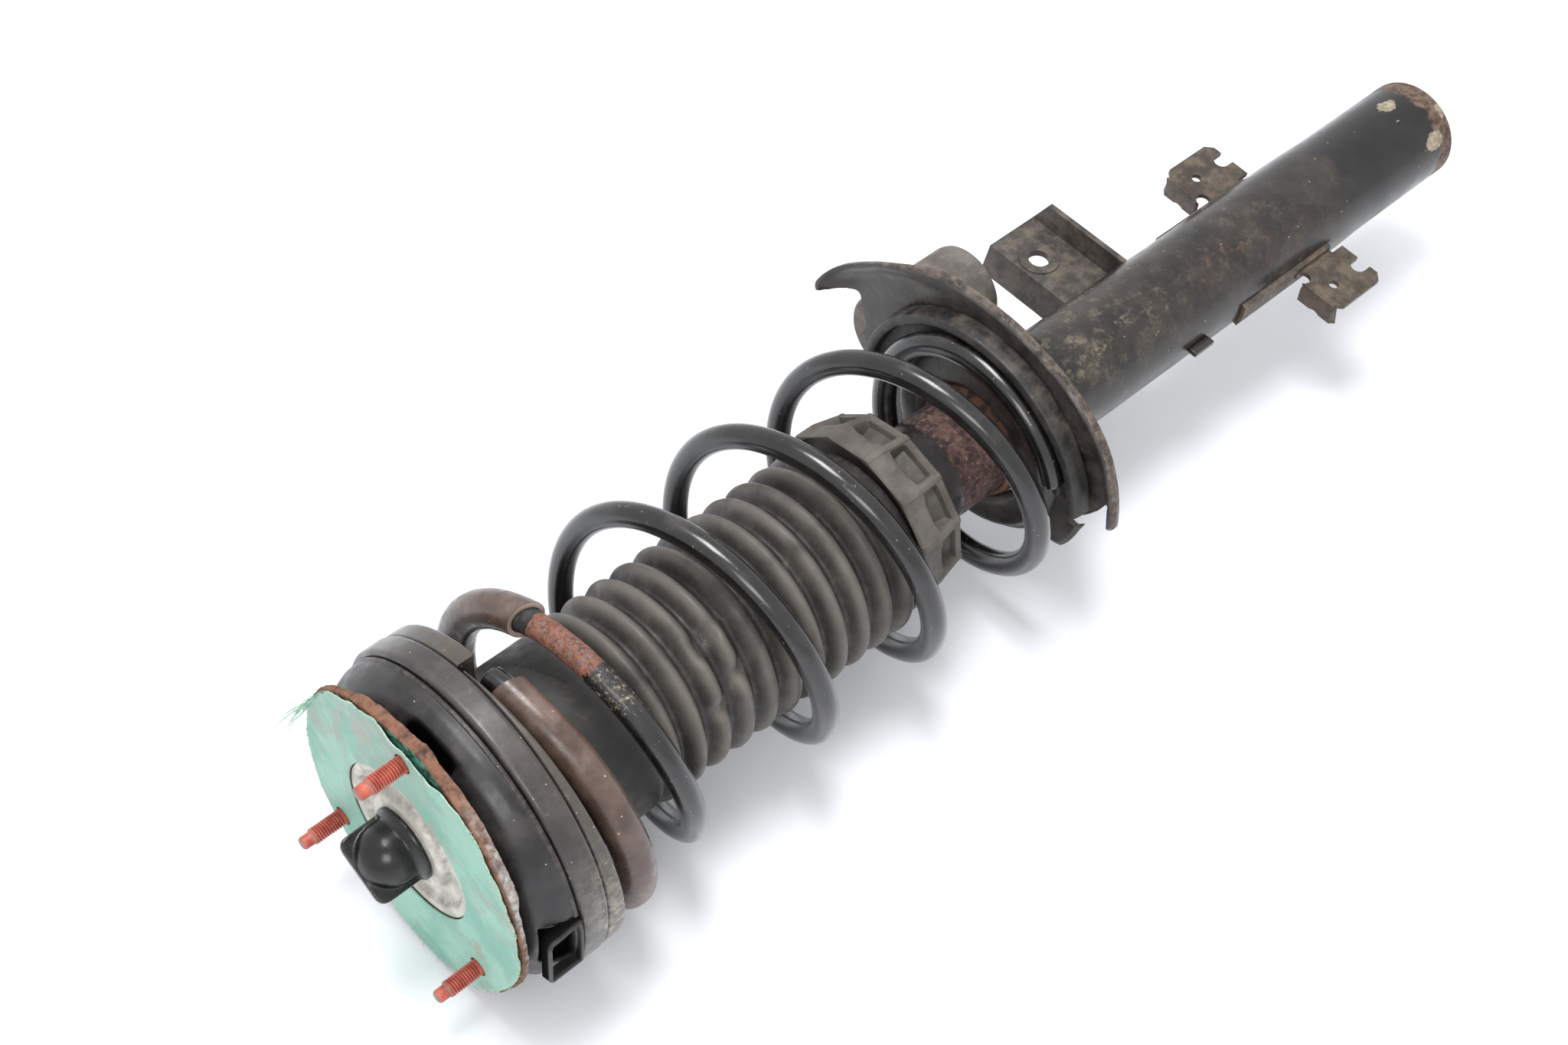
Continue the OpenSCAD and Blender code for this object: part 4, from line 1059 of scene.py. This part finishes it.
def band_piece():
    """Rubber seat of the spring's upper end: a plain ring, and a ramp behind it that ends in a step."""
    prof = fillet([(50, 26.8), (77.0, 26.8), (78.4, 28.3), (78.4, 38.2), (77.5, 39.5), (50, 39.5)],
                  [0.5, 0.8, 1.2, 1.2, 0.8, 0.5], 4, closed=True)
    seam = lambda t, r, x, P: np.clip(
        (1 - smooth01(x, 27.0, 28.2) + smooth01(x, 38.6, 39.4)) * smooth01(r, 75, 77.5), 0, 1)
    dirt = lambda t, r, x, P: bell(t, 180, 24) * smooth01(r, 72, 77) * (0.3 + 0.7 * smooth01(x, 30, 40))
    lathe("rubber_band", resample(prof, 0.9), TOP, M["band"], 420, shift=ECC,
          disp=lambda t, r, x, P: 0.10 * fbm(P, 16, 2, 90) * smooth01(r, 70, 76),
          attrs={"seam": seam, "dirt": dirt},
          replaces=("upper_spring_isolator",))
    A = np.linspace(1.0, 358.0, 420)
    low = np.minimum(coil_x(A + 11) - 9.25, 39.5 + 8 * np.minimum(A / 106, 1))
    rows = []
    for xb, end in zip(low, 1.2 * gauss(A, 358, 0.5)):
        xb, hi = xb - end, xb + 1.5 - end
        row = [(60, 39.2, 0), (76.6, 39.2, 1), (77.2, 39.7, 1)]
        row += [(77.9, 40.3 + (hi - 1.2 - 40.3) * f, 0) for f in (0, 0.25, 0.5, 0.75, 1)]
        row += [(77.5, hi - 0.4, 0), (76.6, hi - 0.05, 0), (75.3, hi, 0), (73, hi - 0.6 * (hi - xb), 0)]
        rows.append(row + [(66, xb + 0.1, 0), (60, xb, 0)])
    r, x, dark = np.moveaxis(np.array(rows), -1, 0)
    t = np.radians(77.5 + A)[:, None] + 0 * r
    d = 0.12 * fbm(around(r, t, x), 14, 2, 92) * smooth01(r, 70, 76)
    dirt = bell(77.5 + A, 180, 24)[:, None] * smooth01(r, 72, 77)
    ob = grid("rubber_ramp", around(r + d, t, x) + ECC, TOP, M["band"], wrap_v=True, cap_u=True,
              attrs={"seam": dark, "ramp": smooth01(r, 74, 77), "dirt": dirt}, angle=45)
    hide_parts("upper_spring_isolator")


band_piece()


# ---- dust boot
def boot_piece():
    """Plain sleeve and its folds, with dents on the side that the photograph shows."""
    folds, first_fold, pitch, wall = 11, 105, 13.8, 1.6
    pts = [(46.1, 28)] + [(46.1, x) for x in (40, 60, 80, 94)] + [(45.8, 96.5), (44.6, 98.6)]
    for i in range(folds):
        c = first_fold + pitch * i
        pts += [(41.6, c - 8.2), (41.1, c - 6.9), (41.6, c - 5.6)] if i else [(42.4, c - 5.4)]
        pts += [(44.0, c - 4.0), (46.6, c - 2.3), (47.8, c - 0.8), (48.0, c + 0.3), (47.7, c + 1.4),
                (46.2, c + 2.9), (43.8, c + 4.3)]
    P = np.array(pts + [(41.6, 248.6), (41.2, 250), (41.2, 255.8)], float)
    for _ in range(2):
        # each pass cuts the corners of the outline once
        Q = [P[0]]
        for a, b in zip(P[:-1], P[1:]):
            Q += [a * 0.75 + b * 0.25, a * 0.25 + b * 0.75]
        P = np.array(Q + [P[-1]])
    outer = resample(P, 1.3)
    prof = np.concatenate([outer, outer[::-1] - [wall, 0]])
    nat = lambda a: a - 8.5
    # place, angle, half length, half width in degrees, depth
    dents = [(141, nat(121), 8, 5.5, 5.4), (148, nat(148), 7, 7, 5.0), (134, nat(161), 7, 6, 4.4),
             (136, nat(128), 5, 3, 2.0), (196, nat(110), 4, 5, 1.6)]

    def disp(t, r, x, P):
        d = 0.25 * fbm(P * [1, 1, 0.25], 26, 3, 100) + 0.08 * fbm(P, 7, 2, 101)
        d = d - 0.35 * bell(t, 199, 40) * gauss(x, 140, 30)
        for cx, ct, wx, wt, depth in dents:
            s = wrap180(t - ct)
            along = x - cx + 0.35 * s
            d = d - depth * np.exp(-(along / wx) ** 2 - (s / wt) ** 2) * smooth01(r, 40.5, 46)
            d = d + 0.35 * depth * np.exp(-((along - wx * 1.3) / (wx * 0.7)) ** 2 - (s / wt) ** 2)
        return d

    def seam(t, r, x, P):
        line = gauss(x, 74 + 0.28 * wrap180(t - nat(75)), 0.45) * (x < 95)
        return line * smooth01(wrap180(t - nat(66)), 0, 3) * (1 - smooth01(wrap180(t - nat(98)), 0, 3))

    # root_shade marks the fold valleys, which are painted darker as shade
    A = {"crest": lambda t, r, x, P: smooth01(r, 43.5, 47.5) * (x > 99),
         "root_shade": lambda t, r, x, P: (1 - smooth01(r, 41.3, 44.0)) * (x > 99) * smooth01(r, 40.0, 40.6),
         "plain": lambda t, r, x, P: 1 - smooth01(x, 92, 99), "seam": seam}
    ob = lathe("bellows_boot", prof, TOP, M["boot"], 256, shift=ECC, disp=disp, attrs=A,
               replaces=("dust_boot",), angle=80)
    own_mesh(ob)


boot_piece()


# ---- ribbed collar
def collar_piece():
    """Twelve flat faces with a rib on each corner, and a sunk pocket in each behind a thin rim."""
    corner_r, start, n = 48.4, 255, 1440
    t = np.arange(n) * 360.0 / n
    phi = np.abs((t % 30) - 15)
    flat = corner_r * math.cos(math.radians(15)) / np.cos(np.radians(phi))
    rib = smooth01(phi, 12.5, 13.1)
    steps = [[0.0, 0.3, 0.8], np.arange(1.6, 11.6, 1.0), np.arange(11.8, 27.0, 0.3), [27.2, 27.6]]
    rows = []
    for x in np.concatenate(steps):
        face = flat * (1 - 0.075 * np.clip((x - 9) / 16, 0, 1))
        floor = np.interp(x, [11, 16, 24], [42.0, 39.0, 41.5])
        front = 11.6 + 1.2 * smooth01(phi, 6, 12)
        rim = smooth01(x, 22.2, 22.9)
        sunk = smooth01(x, front, front + 1.0) * (1 - rim) * (1 - smooth01(phi, 10.6, 12.4))
        r = face * (1 - sunk) + floor * sunk
        r = np.where(rib > 0, np.maximum(r, rib * np.minimum(face + 0.45, 48.35) + (1 - rib) * r), r)
        r = r * (1 - rim) + np.maximum(r, face * 0.985) * rim
        r = r - 0.6 * (1 - smooth01(x, 0.0, 0.8)) - 0.9 * smooth01(x, 26.6, 27.6)
        rows.append((r, start + x + 0 * t, sunk))
    back = [(41.0, 282.8), (37.0, 283.0), (25.9, 283.0), (25.9, 262.0), (45.3, 262.0), (45.3, 255.3),
            (45.6, 255.0)]
    rows += [(a + 0 * t, b + 0 * t, 0 * t) for a, b in back]
    R, X, sunk = (np.stack([row[k] for row in rows], 1) for k in range(3))
    P = around(R, np.radians(t)[:, None], X)
    P[..., :2] *= (1 + (0.10 * fbm(P, 9, 3, 110) / 45.0))[..., None]
    # the hollow attribute marks the sunk pockets, which the material paints darker as shade
    grid("ribbed_collar", P, LOW, M["collar"], wrap_u=True, wrap_v=True, attrs={"hollow": sunk},
         replaces=("boot_collar",), angle=32)


collar_piece()

# ---- damper tube, hub and end cap
H = TUBE_HOLE
tp = fillet([(H, 257), (24.8, 257), (25.8, 258.5), (25.8, 343), (TUBE_R, 347), (TUBE_R, 586), (27.5, 606),
             (27.5, 677.6), (26.6, TUBE_END), (24.4, TUBE_END), (H, 678)],
            [0.2, 0.4, 0.6, 1.5, 2.0, 6.0, 6.0, 0.6, 0.4, 0.4, 0.3], 4, closed=True)


def tube_disp(t, r, x, P):
    """A small knob, the rust crust above the seat, and a slight unevenness."""
    knob = 1.1 * np.exp(-((x - 286) / 1.7) ** 2 - (wrap180(t - 100.5) / 3.6) ** 2)
    crust = window(x, 295, 303, 329, 333) * (0.35 + 0.65 * bell(t, 125, 60))
    crust = crust * (0.25 + 0.35 * fbm(P, 4.0, 4, 120))
    return (knob + crust + 0.03 * fbm(P, 30, 2, 121)) * smooth01(r, 24.9, 25.6)


def tube_mark(f):
    """Attribute on the outside of the tube, from a function of the angle and the place along it."""
    return lambda t, r, x, P: np.clip(f(t, x) * smooth01(r, 24.9, 25.4), 0, 1)


def spots(*places):
    """Sum of soft spots given as strength, angle, place, and their widths."""
    return lambda t, x: sum(k * bell(t, tc, tw) * gauss(x, xc, xw) for k, tc, xc, tw, xw in places)


mud = spots((1.0, 82, 380, 42, 34), (0.6, 48, 430, 30, 34), (0.75, 112, 415, 26, 45), (0.3, 95, 520, 40, 30))
rust = spots((0.8, 112, 500, 22, 34), (0.4, 150, 540, 22, 30))
pale = spots((1.3, 76.5, 653, 10, 6), (1.3, 142, 664, 12, 7), (0.8, 118, 676, 12, 2.6), (0.7, 100, 648, 2, 2))
lathe("painted_tube", resample(tp, 1.6), LOW, M["tube"], 256, disp=tube_disp, attrs={
    "mud": tube_mark(lambda t, x: mud(t, x) + 0.12 * (x > 350) * (x < 590)),
    "rusty": tube_mark(lambda t, x: rust(t, x) + 1.3 * smooth01(x, 662, 671)),
    "crust": tube_mark(lambda t, x: window(x, 299, 305, 330, 334) * (0.45 + 0.6 * bell(t, 120, 62))),
    "pale": tube_mark(pale)}, replaces=("damper_tube",))

hub = fillet([(25.85, 330), (27.8, 330), (29.7, 335), (29.9, 342.8), (25.85, 342.8)], 0.7, 4, closed=True)
lathe("weld_hub", resample(hub, 0.6), LOW, M["hub"], 200,
      disp=lambda t, r, x, P: smooth01(r, 26.2, 27.6) * (0.25 * fbm(P, 3.2, 3, 130) - 0.1),
      replaces=("seat_hub",))

end_cap = fillet([(0.02, 668), (23.58, 668), (23.58, 674.5), (21, 674.5), (18, 672), (0.02, 672)],
                 [0, 0.5, 0.4, 1.2, 1.2, 0], 4, closed=True)
lathe("recessed_end_cap", resample(end_cap, 1.0), LOW, M["hub"], 128, disp=lambda t, r, x, P: -0.05,
      replaces=("tube_end_cap",))

# ---- spring seat
# angle and radius of the pressed plate's outline
SEAT_RIM = np.array([[-200, 85], [-184, 84], [-181, 67], [-160, 66], [-153, 64], [-149, 52], [-62, 52],
                     [-46, 60], [-40, 66], [-27, 64], [-8, 67], [-1, 76], [8, 108], [16, 108], [30, 99],
                     [53, 89], [80, 82], [105, 81], [140, 86], [160, 85], [176, 84], [179, 67], [200, 66]],
                    float)


def seat_rim(a):
    """Outline's radius at angle a, smoothed over nine degrees."""
    a = wrap180(a)
    return sum(np.interp(a + d, SEAT_RIM[:, 0], SEAT_RIM[:, 1]) for d in (-4.5, -3, -1.5, 0, 1.5, 3, 4.5)) / 7


def inside(px, py, poly):
    """True for the points inside the polygon."""
    res = np.zeros(px.shape, bool)
    for (x1, y1), (x2, y2) in zip(poly, poly[1:] + poly[:1]):
        c = (y1 > py) != (y2 > py)
        res ^= c & (px < (x2 - x1) * (py - y1) / (y2 - y1 + 1e-12) + x1)
    return res


def even_edge(grids, keep, T):
    """Evens out the stepped edge that the dropped cells leave; returns where that edge is."""
    na, nr = grids[0].shape[:2]
    F = np.argwhere(keep)
    used = np.zeros((na, nr), int)
    for du in (0, 1):
        for dv in (0, 1):
            np.add.at(used, ((F[:, 0] + du) % na, F[:, 1] + dv), 1)
    cut = (used > 0) & (used < 4) & (T > 0.001) & (T < 0.999)
    firm = (used > 0) & (cut | (used == 4))
    for _ in range(14):
        for G in grids:
            S, C = np.zeros_like(G), np.zeros((na, nr))
            for step in ((1, 0), (-1, 0), (0, 1), (0, -1)):
                near = np.roll(firm, step, (0, 1))
                S += np.roll(G, step, (0, 1)) * near[..., None]
                C += near
            G[cut] = 0.6 * G[cut] + 0.4 * (S / np.maximum(C, 1)[..., None])[cut]
    return cut


def seat_piece():
    """Pressed plate with a horn at one side, a hollow beside it and a stepped panel at the other."""
    na, nr = 1200, 76
    inner, thick, panel_step = 49.6, 2.8, 2.6
    a = wrap180(np.arange(na) * 360.0 / na)
    R = seat_rim(a)
    T = np.linspace(0, 1, nr)[None, :]
    r = inner + (R[:, None] - inner) * T
    P = np.concatenate([polar(1.0, a)[:, None] * r[..., None], 0 * r[..., None]], -1)
    flat = P.copy()
    rag = window(a, -48, -40, 2, 6)[:, None] * smooth01(T, 0.75, 1) * 1.1
    P[..., :2] *= (1 + rag * fbm(P, 4, 3, 140) / 70)[..., None]
    hollow_poly = [(111, 14), (87, 25), (79, 8), (88, -30), (135, -4)]
    gap = [tuple(polar(*p)) for p in ((80.8, 162), (81.6, 184), (58, 184), (66.5, 177), (73.5, 170))]
    solid = ~inside(P[..., 0], P[..., 1], hollow_poly) & ~inside(P[..., 0], P[..., 1], gap)
    keep = solid[:, :-1] & solid[:, 1:] & np.roll(solid, -1, 0)[:, :-1] & np.roll(solid, -1, 0)[:, 1:]
    to_rim = R[:, None] - r
    lip = 6.5 * window(a, 1, 9, 40, 66) + 1.2 * window(a, 50, 70, 165, 176)
    lip = -lip[:, None] * (1 - smooth01(to_rim, 0, 13)) ** 1.3
    # the rim is rolled back at its outermost edge
    roll = (1 - smooth01(to_rim, 0, 3.2)) ** 2 * (1.9 * window(a, 30, 60, 168, 178) + 0.8)[:, None]
    uneven = 0.25 * fbm(P, 24, 2, 141) + 0.06 * fbm(P, 6, 2, 142)
    horn = -5.5 * bell(a, 11, 9)[:, None] * smooth01(r, 88, 108)
    # panel beside the rim's free end: a step along a slanting line
    beyond = smooth01(-((flat[..., 0] + 52.0) * 0.86 - (flat[..., 1] - 18.0) * 0.5), -0.8, 0.8)
    panel = beyond * smooth01(a, 138, 150)[:, None] * (1 - smooth01(r, 78, 81)) + beyond * (a < -150)[:, None]
    P[..., 2] = SEAT_X + lip + roll + uneven + horn + panel_step * panel
    B = P.copy()
    B[..., 2] += thick - 0.9 * (1 - smooth01(to_rim, 0, 1.6))
    cut = even_edge((P, B), keep, T)
    rim = (1 - smooth01(to_rim, 0.0, 2.4)) * (0.45 + 0.35 * window(a, 20, 60, 170, 178))[:, None]
    rim = rim + 0.45 * (1 - smooth01(to_rim, 0, 4)) * window(a, 122, 140, 176, 179)[:, None] + cut * 0.3
    sheet("pressed_seat", P, B, LOW, M["seat"], keep, attrs={"rim": np.clip(rim, 0, 1)},
          replaces=("spring_seat",), angle=50)


seat_piece()
centre = fillet([(50, 339), (46.5, 333), (34, 331.5), (30, 335), (30, 338.5), (34, 334.6), (45, 336),
                 (48.5, 342), (50.6, 342)], 1.6, 5, closed=True)
ob = lathe("seat_centre", resample(centre, 0.9), LOW, M["seat"], 240,
           disp=lambda t, r, x, P: 0.15 * fbm(P, 7, 3, 145),
           attrs={"rim": lambda t, r, x, P: 0.45 * gauss(r, 47.5, 2.0) + 0.3 * gauss(r, 32, 1.6)})
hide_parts("spring_seat")

# ---- rubber pad
pad = fillet([(50.6, 336.4), (50.6, 334.9), (53.2, 334.7), (54.6, 336.2), (62.6, 336.2), (64.3, 334.4),
              (64.7, 329.3), (66.5, 328.7), (69.6, 329.6), (70.2, 333), (70.2, 338.9), (50.6, 338.9)], 0.9,
             4, closed=True)


def pad_move(T, R, X, P):
    """Radial and axial move: ripples at the first end and an uneven top."""
    wall = smooth01(R, 63, 65)
    out = 0.3 * fbm(P, 14, 2, 150) * wall
    ripple = 0.45 * np.sin(np.radians(T) * 62) * (1 - smooth01(T, -14, -2)) * wall
    top = -smooth01(-X, -333, -330) * (0.8 * window(T, 20, 60, 110, 150) + 0.5 * fbm(P, 20, 2, 151))
    return out + ripple, top


arc_sweep("rubber_pad", resample(pad, 0.9), -6, 169, 0.8, LOW, M["pad"],
          ("lower_spring_isolator",), pad_move)

# ---- can
cp = fillet([(0.02, 345), (21, 345), (22.5, 346.5), (22.5, 401), (21.3, 403.8), (18.0, 405), (0.02, 405)],
            [0, 0.8, 0.8, 2.5, 1.5, 4, 0], 6)
lathe("damper_can", resample(cp, 1.2), LOW, M["can"], 160, shift=np.array([71.0, 0, 0]),
      disp=lambda t, r, x, P: 0.1 * fbm(P, 12, 3, 160) * smooth01(r, 3, 8),
      replaces=("mass_damper",))

# ---- brackets: rounded sheet edges
cad_copy("link_bracket", LOW, M["link"], 1.3, 4)
cad_copy("hose_bracket_upper", LOW, M["hose"], 0.8, 3)
cad_copy("hose_bracket_lower", LOW, M["hose"], 0.8, 3)
cad_copy("seat_gussets", LOW, M["seat"], 0.8, 3)
cad_copy("tube_tab", LOW, M["tube"], 0.5, 3)

# ---- CAD nodes that stay
INNER = {"steel": ("mount_bush", "rod_nut", "bump_cup", "piston_nut", "pressure_tube", "mass_damper_bolt"),
         "rubber": ("mount_rubber", "rod_seal"), "foam": ("bump_stop",), "chrome": ("piston_rod",),
         "sintered": ("rebound_stop", "piston", "rod_guide", "base_valve"), "ptfe": ("piston_ring",)}
for key, nodes in INNER.items():
    for o in [NODES[node] for node in nodes]:
        for s in o.material_slots:
            s.material = M[key]
        if not o.material_slots:
            o.data.materials.append(M[key])

# ---- table under the strut
TABLE_HALF, GAP = 4.0, 0.0006
lo, hi = [[float(c) for c in v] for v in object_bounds()]
top, cx = lo[2] - GAP, (lo[0] + hi[0]) / 2
me = bpy.data.meshes.new("floor")
corners = ((-1, -1), (1, -1), (1, 1), (-1, 1))
me.from_pydata([(cx + u * TABLE_HALF, v * TABLE_HALF, top) for u, v in corners], [], [(0, 1, 2, 3)])
floor = bpy.data.objects.new("floor", me)
scene.collection.objects.link(floor)
fm = Mat("white_table", 0.32, spec=0.4)
white = fm.mix((160, 3, 0.55, 0.35, 0.65), (240, 242, 246), (244, 246, 250))
me.materials.append(fm.done(white, fm.patchy((90, 3), 0.28, 0.36)))

# ---- light
world = bpy.data.worlds.new("world")
scene.world = world
world.use_nodes = True
world.node_tree.nodes["Background"].inputs[0].default_value = (0.975, 0.985, 1.0, 1)
world.node_tree.nodes["Background"].inputs[1].default_value = 1.0


def area(name, loc, target, sx, sy, power, color=(1, 1, 1)):
    d = bpy.data.lights.new(name, "AREA")
    d.shape, d.size, d.size_y, d.energy, d.color = "RECTANGLE", sx, sy, power, color
    o = bpy.data.objects.new(name, d)
    scene.collection.objects.link(o)
    o.location = loc
    o.rotation_euler = (Vector(target) - Vector(loc)).to_track_quat("-Z", "Y").to_euler()


area("key", (0.15, 0.1, 1.8), (0.32, 0, 0), 0.8, 0.6, 24)
area("camera_side", (-0.7, -0.9, 1.1), (0.25, 0, 0), 0.6, 0.6, 7, (1, 0.98, 0.96))

scene.view_settings.view_transform = "Standard"
scene.view_settings.look = "None"
